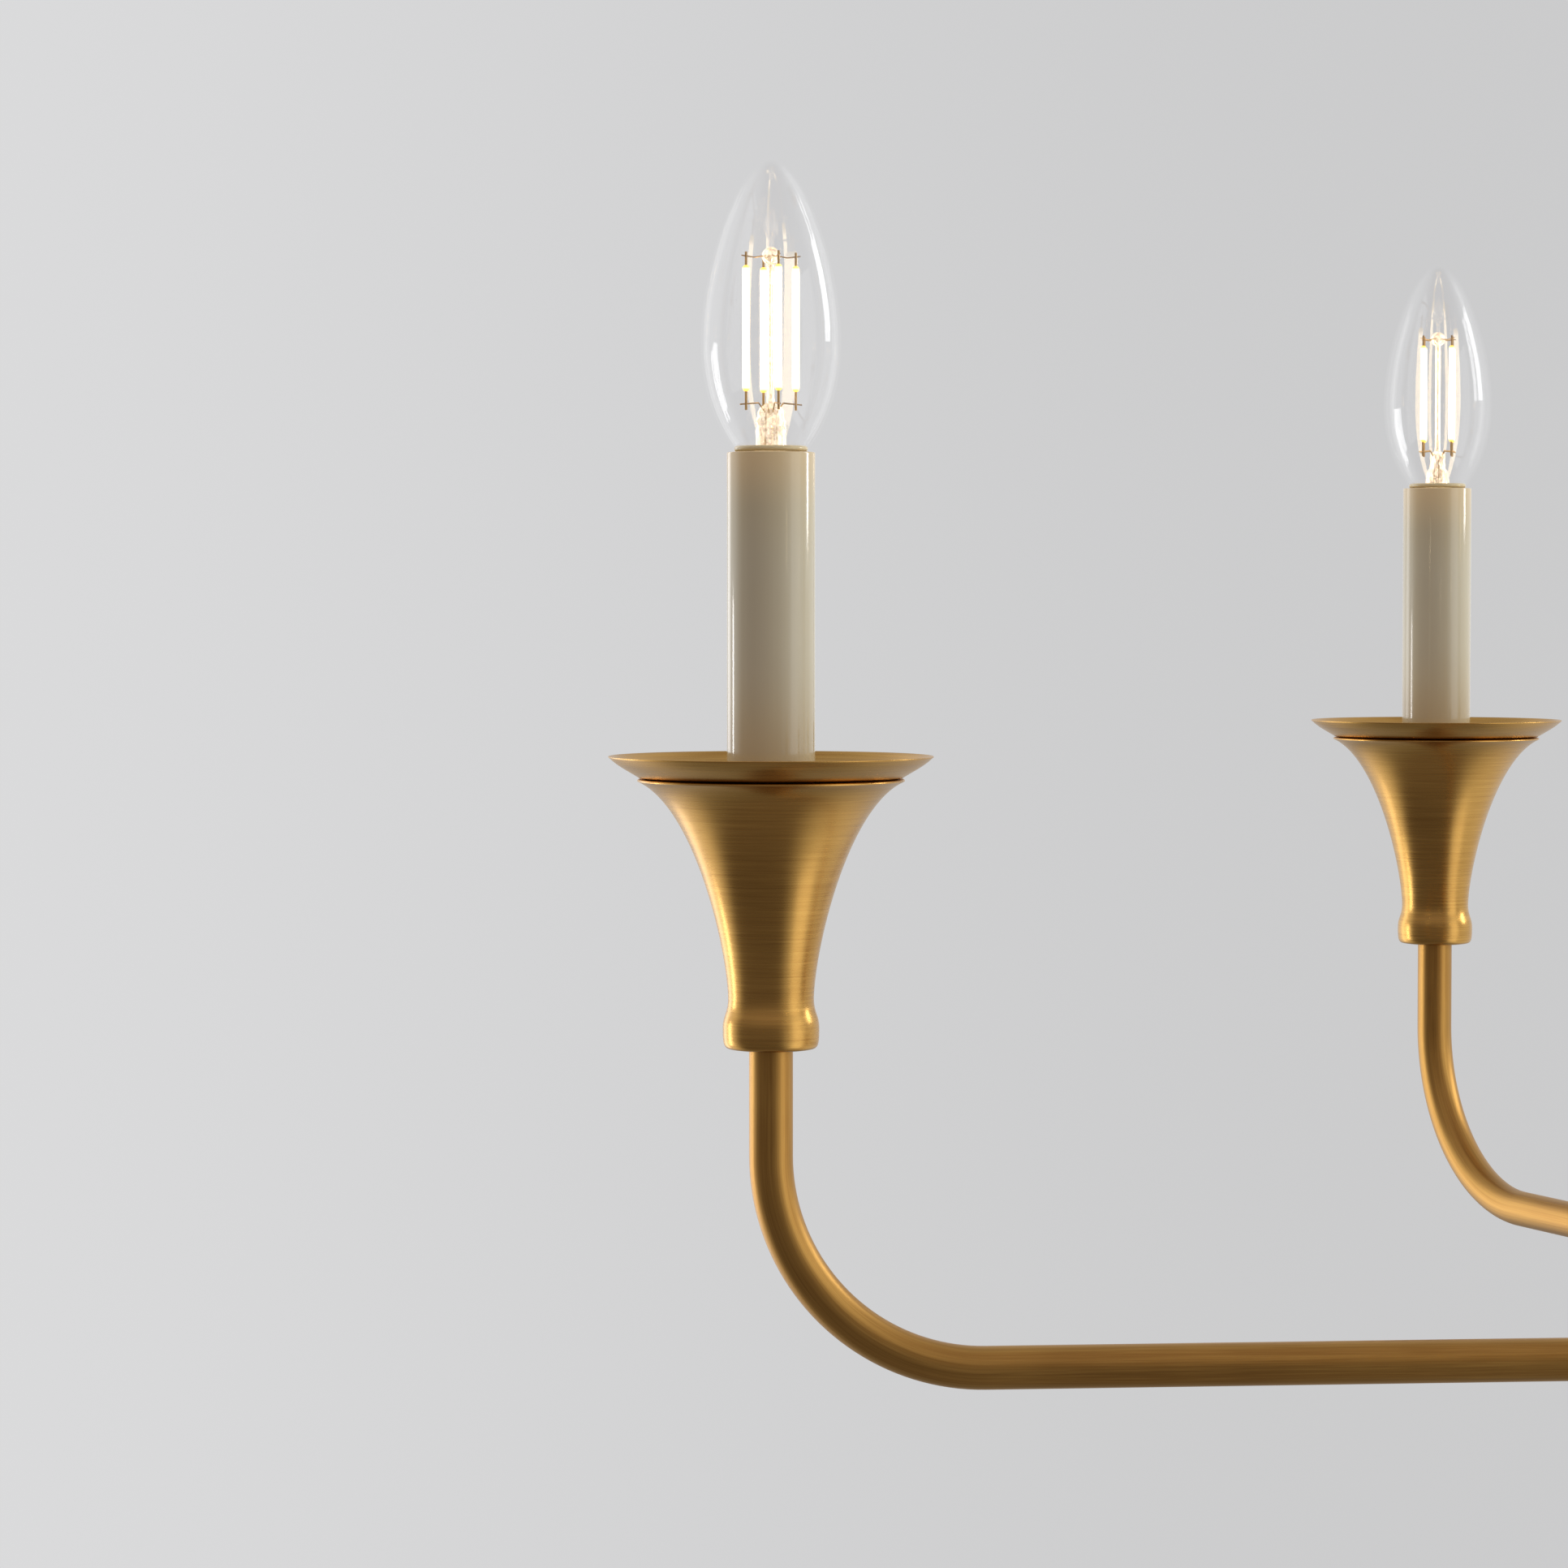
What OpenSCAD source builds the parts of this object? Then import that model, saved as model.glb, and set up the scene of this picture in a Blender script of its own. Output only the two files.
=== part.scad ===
// Chain-hung chandelier: hub and column, five tubular brass arms, turned candle cups, drip dishes,
// candle sleeves and filament bulbs. Millimetres, +Z up.
// Origin: centre of the canopy rim, on the ceiling plane. Everything hangs below z = 0.

/* [Overall] */
// Distance from the hanging axis to each candle's axis
arm_radius = 360; // [300:4:440]
// Drop from the base of the fixture loop to the middle of the hub
column_drop = 388; // [300:2:480]

/* [Arm tube] */
// Outer diameter of the arm tube
arm_od = 11.1; // [10.5:0.1:14]
// Centre line radius of the arm's bend
bend_radius = 54.5; // [40:1:70]
// Upright length of tube between the bend and the candle cup
upright_length = 26.9; // [10:0.1:60]

/* [Candle cup] */
// Radius of the cup at its lip
cup_lip_r = 33.6; // [28:0.2:40]
// Height of the cup from its foot to its lip
cup_height = 68; // [55:0.2:85]
// Radius of the neck above the collar
cup_neck_r = 10.8; // [9.5:0.1:14]
// Height at which the neck starts to flare
cup_neck_h = 12.5; // [11:0.1:18]
// Largest radius of the collar bead
collar_bead_r = 12.2; // [11:0.1:16]
// Radius of the collar's flat foot
collar_foot_r = 9.6; // [8.5:0.1:11]
// Sheet thickness of the cup
cup_wall = 1.2; // [0.8:0.1:2]
// Height of the solid floor inside the collar
cup_floor_h = 9.5; // [6:0.5:11]
// Angle of the flare at the lip, from the upright, in degrees
flare_angle = 64; // [50:1:72]

/* [Drip dish] */
// Radius of the dish at its rim
dish_rim_r = 41; // [36:0.2:50]
// Height of the rim's outer edge above the underside of the dish
dish_depth = 5.7; // [4:0.1:12]
// Sheet thickness of the dish
dish_wall = 0.8; // [0.6:0.1:1.5]

/* [Candle sleeve] */
// Outer diameter of the candle sleeve
sleeve_od = 22.2; // [21.6:0.1:26]
// Wall thickness of the sleeve
sleeve_wall = 1; // [0.8:0.1:1.4]
// Length of the sleeve
sleeve_length = 81; // [60:1:110]

/* [Bulb] */
// Largest radius of the glass
bulb_r = 17.5; // [15:0.1:19]
// Height of the glass above the top of the sleeve
bulb_height = 72.9; // [62:0.1:85]
// Height of the widest place above the top of the sleeve
bulb_wide_h = 27.3; // [22:0.1:32]
// Thickness of the glass
glass_wall = 0.8; // [0.6:0.1:1.2]
// Radius of the glass neck inside the base
glass_neck_r = 5.2; // [4.5:0.1:5.3]
// Radius of the screw base
bulb_base_r = 5.85; // [5.75:0.05:6]
// Length of the metal shell of the screw base
bulb_base_length = 16.5; // [14:0.5:18]
// Distance of each lit strip from the bulb's axis
strip_ring_r = 6.5; // [5:0.1:9]
// Radius of each lit strip
strip_r = 0.9; // [0.6:0.1:1.2]
// Length of each lit strip
strip_length = 31.5; // [24:0.5:36]

/* [Lamp holder] */
// Outer radius of the lamp holder's barrel
holder_r = 8.7; // [8:0.1:9.2]
// Radial clearance round the bulb's base in the barrel
base_clearance = 0.35; // [0.2:0.05:0.6]
// Distance from the top of the sleeve down to the top of the barrel
holder_recess = 5; // [4.5:0.5:10]
// Thickness of the barrel's floor
holder_floor = 14; // [6:1:18]
// Outer radius of the holder's stem
stem_r = 5.4; // [5:0.1:6]

/* [Pipes and nuts] */
// Outer diameter of the threaded pipes in the candles and in the hub wall
pipe_od = 8; // [7.5:0.1:9.6]
// Bore of those pipes
pipe_bore = 6; // [5:0.1:6.4]
// Width of their lock nuts across the flats
nut_width = 13; // [12:0.5:14]
// Thickness of their lock nuts
nut_thickness = 3; // [2:0.5:4]
// Length of pipe screwed into the end of an arm
pipe_grip = 12; // [8:1:20]
// Diameter of the flex that runs through each arm
flex_d = 3; // [2:0.1:4]

/* [Hub and column] */
// Outer radius of the hub drum
hub_r = 30; // [28:0.5:36]
// Height of the hub drum
hub_height = 30; // [26:1:44]
// Wall thickness of the drum
hub_wall = 2.5; // [2:0.1:3.2]
// Radius of each boss that an arm seats on
boss_r = 8.5; // [8:0.1:10]
// Distance from the hub's axis to the seat of each boss
boss_seat = 34; // [33:0.5:42]
// Depth of the cover below the drum
cover_depth = 14; // [8:0.5:24]
// Length of the finial below the cover
finial_length = 30; // [20:1:50]
// Radius of the finial's ball
finial_ball_r = 9; // [7:0.5:14]
// Height of the column's flared vase
vase_height = 78; // [50:1:100]
// Outer diameter of the column tube
column_od = 16; // [14:0.5:20]
// Wall thickness of the column tube
column_wall = 1; // [0.8:0.1:2]
// Outer diameter of the threaded pipe through the column
centre_pipe_od = 9.6; // [9:0.1:11]
// Bore of the threaded pipe through the column
centre_pipe_bore = 7; // [6:0.1:7.5]

/* [Chain] */
// Overall length of a chain link
link_length = 38; // [34:1:44]
// Overall width of a chain link
link_width = 22; // [20:0.5:23]
// Diameter of the chain's wire
link_wire = 4; // [3:0.1:4.8]
// Gap in the side of a link where it is pried open
link_slit = 0.5; // [0.3:0.1:1]
// Outer width of the two end loops
loop_width = 24; // [22:0.5:24]
// Diameter of the end loops' wire
loop_wire = 5; // [4:0.1:5]

/* [Canopy] */
// Outer radius of the canopy's rim
canopy_r = 65; // [60:1:80]
// Depth of the canopy
canopy_depth = 26; // [24:0.5:34]
// Sheet thickness of the canopy
canopy_wall = 1; // [0.8:0.1:1.5]
// Height of the canopy's upright rim band
canopy_band = 3; // [2:0.5:6]
// Outer radius of the ring nut under the canopy
ring_r = 17; // [16:0.5:20]
// Height of the ring nut
ring_height = 8; // [6:0.5:12]

/* [Ceiling bracket] */
// Distance between the two ceiling screws
screw_spacing = 88.9; // [70:0.1:96]
// Width of the screw slots
slot_width = 4.8; // [4:0.1:5.5]
// End to end length of the screw slots
slot_length = 8; // [6:0.5:10]
// Width of the bracket's strap
strap_width = 20; // [16:1:24]
// Thickness of the bracket's strap
strap_thickness = 2; // [1.5:0.1:3]
// Depth that the middle of the bracket stands off the ceiling
strap_drop = 9; // [9:0.5:11]
// Outer radius of the threaded pipe that carries the loop
nipple_r = 4.85; // [4.5:0.05:5.2]

/* [Hidden] */
$fn = 96;
arm_count = 5;
link_count = 5;
curve_steps = 18;

// Fits
thread_gap = 0.05;
slip_gap = 0.3;
link_gap = 0.1;
overlap = 1;

// Chain and loops
loop_shank_r = 12.2;
loop_shank_top = -20;
loop_shank_bottom = -38;
loop_bar_r = loop_wire / 2;
loop_arc_r = loop_width / 2 - loop_bar_r;
loop_drop = 25.5;
link_bar_r = link_wire / 2;
link_arc_r = link_width / 2 - link_bar_r;
link_reach = link_length - link_wire;
hang_z = loop_shank_bottom - loop_drop;
first_pivot_z = hang_z + loop_bar_r + link_gap + link_bar_r - link_reach;
link_pitch = link_reach - link_wire - link_gap;
last_pivot_z = first_pivot_z - (link_count - 1) * link_pitch;
fixture_bar_z = last_pivot_z + link_bar_r + link_gap + loop_bar_r;
loop_base_height = 12;
loop_base_z = fixture_bar_z - loop_drop - loop_base_height;

// Levels of the hub and the arms
hub_z = loop_base_z - column_drop;
hub_top_z = hub_z + hub_height / 2;
hub_bottom_z = hub_z - hub_height / 2;
nut_seat = hub_r - 2;
bend_x = arm_radius - bend_radius;
bend_z = hub_z + bend_radius;
collar_z = bend_z + upright_length;
arm_bore_r = pipe_od / 2 + thread_gap;

// Candle levels, above the foot of the cup
base_drop = 4;
contact_height = 1.5;
contact_gap = 1;
dish_floor_h = cup_height + dish_wall;
dish_nut_h = dish_floor_h + nut_thickness;
sleeve_top_h = dish_floor_h + sleeve_length;
pipe_top_h = dish_nut_h + 6;
holder_top_h = sleeve_top_h - holder_recess;
base_foot_h = sleeve_top_h - base_drop - bulb_base_length - contact_height - contact_gap;
barrel_foot_h = base_foot_h - holder_floor;
flex_top_h = barrel_foot_h - 2;
neck_depth = 6;
cage_turn = 12;

// Column and canopy
centre_pipe_r = centre_pipe_od / 2;
vase_top_z = hub_top_z + vase_height;
cover_foot_r = 8;
canopy_foot_r = 22;
canopy_hole_r = loop_shank_r + 1;
nipple_bore_r = 3.5;
bracket_nut_width = 15;
bracket_nut_thickness = 3;
nipple_top_z = -strap_drop + strap_thickness + bracket_nut_thickness + 0.5;
nipple_foot_z = loop_shank_top - 10;
tab_inner_x = 36;
tab_outer_x = 54;
drop_x = 30;
ground_screw_x = 20;
ground_screw_r = 2;

// Outline helpers. Every curve runs upwards, with the solid on its left.
function mix(p, t) =
  pow(1 - t, 3) * p[0] + 3 * pow(1 - t, 2) * t * p[1] + 3 * (1 - t) * t * t * p[2] + t * t * t * p[3];
function slope(p, t) =
  pow(1 - t, 2) * (p[1] - p[0]) + 2 * (1 - t) * t * (p[2] - p[1]) + t * t * (p[3] - p[2]);
function inward(d) = [-d[1], d[0]] / norm(d);
function outer_curve(p) = [for (i = [0:curve_steps]) mix(p, i / curve_steps)];
function inner_curve(p, wall) =
  [for (i = [0:curve_steps]) mix(p, i / curve_steps) + wall * inward(slope(p, i / curve_steps))];
function between(points, low, high) = [for (q = points) if (q[1] > low && q[1] < high) q];
function backwards(points) = [for (i = [len(points) - 1:-1:0]) points[i]];

module ring(outer, inner, height) {
  difference() {
    cylinder(r = outer, h = height);
    translate([0, 0, -overlap]) cylinder(r = inner, h = height + 2 * overlap);
  }
}

module hex_nut(width, bore_r, thickness) {
  difference() {
    cylinder(d = width / cos(30), h = thickness, $fn = 6);
    translate([0, 0, -overlap]) cylinder(r = bore_r, h = thickness + 2 * overlap);
  }
}

// Places: round the hanging axis, on a candle's axis, and along an arm with local +Z outwards
module on_arm(i) {
  rotate([0, 0, 180 + (i - 1) * 360 / arm_count]) children();
}

module on_candle(i) {
  on_arm(i) translate([arm_radius, 0, collar_z]) children();
}

module along_arm(i) {
  on_arm(i) translate([0, 0, hub_z]) rotate([0, 90, 0]) children();
}

// One round bar or tube that follows an arm's centre line; bore 0 leaves it solid
module arm_path(i, radius, bore, start, top) {
  along_arm(i) translate([0, 0, start]) bar(radius, bore, bend_x - start);
  on_arm(i) {
    translate([bend_x, 0, bend_z])
      rotate([90, 0, 0])
        rotate_extrude(angle = -90)
          translate([bend_radius, 0]) disc(radius, bore);
    translate([arm_radius, 0, bend_z]) bar(radius, bore, top - bend_z);
  }
}

module disc(radius, bore) {
  difference() {
    circle(r = radius);
    if (bore > 0) circle(r = bore);
  }
}

module bar(radius, bore, height) {
  linear_extrude(height = height) disc(radius, bore);
}

// Half torus with two straight legs: centre line radius, bar radius, leg length. Opens downwards.
module bow(arc_r, bar_r, leg) {
  rotate([90, 0, 0]) rotate_extrude(angle = 180) translate([arc_r, 0]) circle(r = bar_r);
  for (side = [-1, 1])
    translate([side * arc_r, 0, -leg]) cylinder(r = bar_r, h = leg);
}

// Ceiling side
module ceiling_bracket() {
  color("silver")
    difference() {
      rotate([90, 0, 0])
        translate([0, 0, -strap_width / 2])
          linear_extrude(height = strap_width)
            polygon([
              [-tab_outer_x, 0], [-tab_inner_x, 0],
              [-drop_x, -strap_drop + strap_thickness], [drop_x, -strap_drop + strap_thickness],
              [tab_inner_x, 0], [tab_outer_x, 0],
              [tab_outer_x, -strap_thickness], [tab_inner_x + strap_thickness / 2, -strap_thickness],
              [drop_x + strap_thickness / 2, -strap_drop], [-drop_x - strap_thickness / 2, -strap_drop],
              [-tab_inner_x - strap_thickness / 2, -strap_thickness], [-tab_outer_x, -strap_thickness]
            ]);
      for (side = [-1, 1])
        translate([side * screw_spacing / 2, 0, -strap_thickness - overlap])
          slot_bar(strap_thickness + 2 * overlap);
      translate([0, 0, -strap_drop - overlap])
        cylinder(r = nipple_r + thread_gap, h = strap_thickness + 2 * overlap);
      translate([ground_screw_x, 0, -strap_drop - overlap])
        cylinder(r = ground_screw_r + thread_gap, h = strap_thickness + 2 * overlap);
    }
}

module slot_bar(height) {
  travel = (slot_length - slot_width) / 2;
  for (side = [-1, 1])
    translate([side * travel, 0, 0]) cylinder(d = slot_width, h = height);
  translate([-travel, -slot_width / 2, 0]) cube([2 * travel, slot_width, height]);
}

module bracket_nipple() {
  color("silver")
    translate([0, 0, nipple_foot_z]) ring(nipple_r, nipple_bore_r, nipple_top_z - nipple_foot_z);
}

module bracket_nuts() {
  color("gray")
    for (z = [-strap_drop + strap_thickness, -strap_drop - bracket_nut_thickness])
      translate([0, 0, z]) hex_nut(bracket_nut_width, nipple_r, bracket_nut_thickness);
}

module ground_screw() {
  head_r = 4;
  head_height = 2.4;
  color("green")
    translate([ground_screw_x, 0, 0]) {
      translate([0, 0, -strap_drop - head_height])
        difference() {
          cylinder(r = head_r, h = head_height);
          translate([-head_r, -0.5, -overlap]) cube([2 * head_r, 1, overlap + 1]);
        }
      translate([0, 0, -strap_drop]) cylinder(r = ground_screw_r, h = strap_thickness + 3);
    }
}

module canopy_loop() {
  color("goldenrod")
    difference() {
      union() {
        translate([0, 0, loop_shank_bottom])
          cylinder(r = loop_shank_r, h = loop_shank_top - loop_shank_bottom);
        translate([0, 0, hang_z + loop_arc_r])
          mirror([0, 0, 1]) bow(loop_arc_r, loop_bar_r, loop_drop - loop_arc_r + overlap);
      }
      translate([0, 0, nipple_foot_z]) cylinder(r = nipple_r, h = loop_shank_top - nipple_foot_z + overlap);
      translate([0, 0, loop_shank_bottom - overlap])
        cylinder(r = nipple_bore_r, h = nipple_foot_z - loop_shank_bottom + 2 * overlap);
    }
}

module canopy() {
  curve = [[canopy_foot_r, -canopy_depth], [canopy_foot_r + 16, -canopy_depth + 9],
           [canopy_r, -canopy_depth + 9], [canopy_r, -canopy_band]];
  color("goldenrod")
    rotate_extrude()
      polygon(concat(
        [[canopy_hole_r, -canopy_depth]], outer_curve(curve),
        [[canopy_r, 0], [canopy_r - canopy_wall, 0], [canopy_r - canopy_wall, -canopy_band]],
        backwards(between(inner_curve(curve, canopy_wall), -canopy_depth + canopy_wall, -canopy_band)),
        [[canopy_hole_r, -canopy_depth + canopy_wall]]
      ));
}

module canopy_ring() {
  bead = ring_height / 2;
  bead_r = 1;
  color("goldenrod")
    translate([0, 0, -canopy_depth - ring_height])
      difference() {
        union() {
          cylinder(r = ring_r, h = ring_height);
          translate([0, 0, bead])
            rotate_extrude() translate([ring_r - bead_r / 2, 0]) circle(r = bead_r);
        }
        translate([0, 0, -overlap]) cylinder(r = loop_shank_r + slip_gap, h = ring_height + 2 * overlap);
      }
}

// Chain
module chain_link(i) {
  leg = link_length - link_width;
  middle_z = first_pivot_z + link_reach / 2 - (i - 1) * link_pitch;
  turn = i % 2 == 1 ? 90 : 0;
  color("goldenrod")
    translate([0, 0, middle_z]) rotate([0, 0, turn])
      difference() {
        union() {
          translate([0, 0, leg / 2]) bow(link_arc_r, link_bar_r, leg / 2);
          translate([0, 0, -leg / 2]) mirror([0, 0, 1]) bow(link_arc_r, link_bar_r, leg / 2);
        }
        translate([link_arc_r - link_wire, -link_wire, -link_slit / 2])
          cube([2 * link_wire, 2 * link_wire, link_slit]);
      }
}

// Fixture: column and hub
module fixture_loop() {
  flange_r = loop_width / 2 + 0.6;
  flange_height = 4;
  neck_r = column_od / 2 + 1;
  color("goldenrod")
    difference() {
      union() {
        translate([0, 0, loop_base_z]) cylinder(r = neck_r, h = loop_base_height);
        translate([0, 0, loop_base_z + loop_base_height - flange_height])
          cylinder(r = flange_r, h = flange_height);
        translate([0, 0, fixture_bar_z - loop_arc_r])
          bow(loop_arc_r, loop_bar_r, loop_drop - loop_arc_r + overlap);
      }
      translate([0, 0, loop_base_z - overlap]) cylinder(r = centre_pipe_r, h = loop_base_height / 2 + overlap);
      translate([0, 0, loop_base_z])
        cylinder(d = centre_pipe_bore, h = loop_base_height + overlap);
    }
}

module column_tube() {
  color("goldenrod")
    translate([0, 0, vase_top_z])
      ring(column_od / 2, column_od / 2 - column_wall, loop_base_z - vase_top_z);
}

// The column's vase repeats the candle cup upside down: bead at the top, flare at the foot
module column_vase() {
  foot_r = hub_r - 0.5;
  neck_h = vase_height - cup_neck_h;
  wall = 1.5;
  lean = 16;
  curve = [[foot_r, 0], foot_r * [1, 0] + lean * [-sin(flare_angle), cos(flare_angle)],
           [cup_neck_r, neck_h * 0.68], [cup_neck_r, neck_h]];
  bead = [[cup_neck_r, neck_h], [cup_neck_r, neck_h + 3], [collar_bead_r, neck_h + 4],
          [collar_bead_r, vase_height - 5]];
  shoulder = [[collar_bead_r, vase_height - 5], [collar_bead_r, vase_height - 2.5],
              [collar_bead_r, vase_height - 1], [collar_foot_r, vase_height]];
  color("goldenrod")
    translate([0, 0, hub_top_z])
      rotate_extrude()
        polygon(concat(
          [[foot_r - wall / cos(flare_angle), 0]], outer_curve(curve), outer_curve(bead),
          outer_curve(shoulder),
          [[centre_pipe_r + slip_gap, vase_height], [centre_pipe_r + slip_gap, neck_h + 2],
           [cup_neck_r - wall, neck_h + 2]],
          backwards(between(inner_curve(curve, wall), 0.2, neck_h))
        ));
}

module centre_pipe() {
  foot_z = hub_bottom_z - cover_depth - 8;
  top_z = loop_base_z + loop_base_height / 2;
  color("silver")
    difference() {
      translate([0, 0, foot_z]) ring(centre_pipe_r, centre_pipe_bore / 2, top_z - foot_z);
      translate([0, 0, hub_z - 9]) rotate([0, 90, 180 / arm_count]) cylinder(r = 2.2, h = hub_r);
    }
}

module hub_body() {
  color("goldenrod")
    difference() {
      union() {
        translate([0, 0, hub_bottom_z]) cylinder(r = hub_r, h = hub_height);
        for (i = [1:arm_count])
          along_arm(i)
            translate([0, 0, hub_r - hub_wall]) cylinder(r = boss_r, h = boss_seat - hub_r + hub_wall);
      }
      translate([0, 0, hub_bottom_z - overlap])
        cylinder(r = hub_r - hub_wall, h = hub_height - hub_wall + overlap);
      translate([0, 0, hub_z]) cylinder(r = centre_pipe_r + slip_gap, h = hub_height);
      for (i = [1:arm_count])
        along_arm(i) {
          translate([0, 0, hub_r / 2]) cylinder(d = nut_width / cos(30) + 1, h = nut_seat - hub_r / 2);
          translate([0, 0, hub_r / 2]) cylinder(r = arm_bore_r, h = boss_seat);
        }
    }
}

module hub_cover() {
  wall = 1.5;
  curve = [[cover_foot_r, -cover_depth], [hub_r * 0.62, -cover_depth], [hub_r - 1, -cover_depth * 0.55],
           [hub_r - 1, -2]];
  color("goldenrod")
    translate([0, 0, hub_bottom_z])
      rotate_extrude()
        polygon(concat(
          [[centre_pipe_r + slip_gap, -cover_depth]], outer_curve(curve),
          [[hub_r, -2], [hub_r, 0], [hub_r - 1 - wall, 0]],
          backwards(between(inner_curve(curve, wall), -cover_depth + wall, -1)),
          [[centre_pipe_r + slip_gap, -cover_depth + wall]]
        ));
}

module finial() {
  seat_r = 7.5;
  waist_r = 5.6;
  waist_h = 11;
  ball_z = -finial_length + finial_ball_r + 3;
  waist_curve = [[waist_r, -waist_h], [waist_r, -waist_h + 4], [seat_r, -waist_h + 5], [seat_r, -2]];
  color("goldenrod")
    translate([0, 0, hub_bottom_z - cover_depth])
      difference() {
        union() {
          rotate_extrude()
            polygon(concat([[0, -waist_h - overlap], [waist_r, -waist_h - overlap]], outer_curve(waist_curve),
                           [[seat_r, 0], [0, 0]]));
          translate([0, 0, ball_z]) sphere(r = finial_ball_r);
          translate([0, 0, -finial_length]) cylinder(r1 = 1.5, r2 = 4, h = 6);
        }
        translate([0, 0, -8]) cylinder(r = centre_pipe_r, h = 8 + overlap);
      }
}

// Fixture: hub wall fastenings and wiring
module hub_nipples() {
  inner = nut_seat - nut_thickness - 1;
  color("silver")
    for (i = [1:arm_count])
      along_arm(i) translate([0, 0, inner]) ring(pipe_od / 2, pipe_bore / 2, boss_seat + pipe_grip - inner);
}

module lock_nuts() {
  color("gray")
    for (i = [1:arm_count]) {
      along_arm(i) translate([0, 0, nut_seat - nut_thickness]) hex_nut(nut_width, pipe_od / 2, nut_thickness);
      on_candle(i) translate([0, 0, dish_floor_h]) hex_nut(nut_width, pipe_od / 2, nut_thickness);
    }
}

module wire_connectors() {
  cap_height = 16;
  ring_at = 11.5;
  color("orange")
    for (i = [1:3])
      rotate([0, 0, 2 * 360 / arm_count * (i - 1)]) translate([ring_at, 0, hub_bottom_z - 4])
        cylinder(r1 = 4.5, r2 = 3, h = cap_height);
}

module arm_flexes() {
  color("ivory")
    for (i = [1:arm_count])
      arm_path(i, flex_d / 2, 0, hub_r / 2 + 3, collar_z + flex_top_h);
}

// Arms
module arm(i) {
  color("goldenrod") arm_path(i, arm_od / 2, arm_bore_r, boss_seat, collar_z);
}

module candle_pipes() {
  color("silver")
    for (i = [1:arm_count])
      on_candle(i) translate([0, 0, -pipe_grip]) ring(pipe_od / 2, pipe_bore / 2, pipe_top_h + pipe_grip);
}

module candle_cup(i) {
  lean = 15.9;
  flare = [[cup_neck_r, cup_neck_h], [cup_neck_r, cup_neck_h + 11.3],
           [cup_lip_r - lean * sin(flare_angle), cup_height - lean * cos(flare_angle)],
           [cup_lip_r, cup_height]];
  bead_low = [[collar_foot_r, 0], [collar_bead_r, 0.8], [collar_bead_r, 2.6], [collar_bead_r, 5.2]];
  bead_high = [[collar_bead_r, 5.2], [collar_bead_r, 8.4], [cup_neck_r, 9], [cup_neck_r, cup_neck_h]];
  color("goldenrod")
    on_candle(i)
      rotate_extrude()
        polygon(concat(
          [[arm_bore_r, 0]], outer_curve(bead_low), outer_curve(bead_high), outer_curve(flare),
          [[cup_lip_r - cup_wall / cos(flare_angle), cup_height]],
          backwards(between(inner_curve(flare, cup_wall), cup_neck_h - 1, cup_height - 0.3)),
          [[cup_neck_r - cup_wall, cup_floor_h], [arm_bore_r, cup_floor_h]]
        ));
}

module drip_dish(i) {
  curve = [[cup_lip_r, dish_wall], [cup_lip_r + 2.4, dish_wall + 1.8],
           [dish_rim_r - 2.3, dish_depth - 2.4], [dish_rim_r, dish_depth]];
  color("goldenrod")
    on_candle(i) translate([0, 0, cup_height])
      rotate_extrude()
        polygon(concat(
          [[arm_bore_r, 0], [cup_lip_r, 0]], outer_curve(curve),
          backwards(between(inner_curve(curve, dish_wall), dish_wall, dish_depth + 2)),
          [[cup_lip_r - dish_wall / 2, dish_wall], [arm_bore_r, dish_wall]]
        ));
}

module lamp_holders() {
  color("dimgray")
    for (i = [1:arm_count])
      on_candle(i)
        difference() {
          union() {
            translate([0, 0, dish_nut_h]) cylinder(r = stem_r, h = barrel_foot_h - dish_nut_h);
            translate([0, 0, barrel_foot_h]) cylinder(r = holder_r, h = holder_top_h - barrel_foot_h);
          }
          translate([0, 0, base_foot_h])
            cylinder(r = bulb_base_r + base_clearance, h = holder_top_h - base_foot_h + overlap);
          translate([0, 0, dish_nut_h - overlap])
            cylinder(r = pipe_od / 2, h = flex_top_h - dish_nut_h + overlap);
        }
}

module candle_sleeve(i) {
  color("ivory")
    on_candle(i)
      translate([0, 0, dish_floor_h]) ring(sleeve_od / 2, sleeve_od / 2 - sleeve_wall, sleeve_length);
}

// Bulbs. Local zero is the top of the sleeve.
module on_sleeve(i) {
  on_candle(i) translate([0, 0, sleeve_top_h]) children();
}

module bulb_glass(i) {
  low = [[glass_neck_r + 2.2, -1.5], [glass_neck_r + 3.2, 0],
         [bulb_r, bulb_wide_h - 18.1], [bulb_r, bulb_wide_h]];
  high = [[bulb_r, bulb_wide_h], [bulb_r, bulb_wide_h + 20.7], [6.5, bulb_height], [0, bulb_height]];
  inner_neck_r = glass_neck_r - glass_wall;
  color([0.9, 0.95, 1, 0.35])
    on_sleeve(i)
      rotate_extrude()
        polygon(concat(
          [[inner_neck_r, -neck_depth], [glass_neck_r, -neck_depth], [glass_neck_r, -2.6]],
          outer_curve(low), outer_curve(high),
          backwards(between(inner_curve(high, glass_wall), bulb_wide_h, bulb_height - glass_wall - 0.01)),
          backwards(between(inner_curve(low, glass_wall), -0.6, bulb_wide_h + 1)),
          [[inner_neck_r, -1.6]]
        ));
}

module bulb_base(i) {
  contact_r = 2.6;
  skirt = -base_drop - bulb_base_length;
  color("silver")
    on_sleeve(i)
      difference() {
        union() {
          translate([0, 0, skirt]) cylinder(r = bulb_base_r, h = bulb_base_length);
          translate([0, 0, skirt - contact_height])
            cylinder(r1 = contact_r, r2 = bulb_base_r - 0.6, h = contact_height);
        }
        translate([0, 0, -neck_depth]) cylinder(r = glass_neck_r, h = neck_depth);
      }
}

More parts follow.
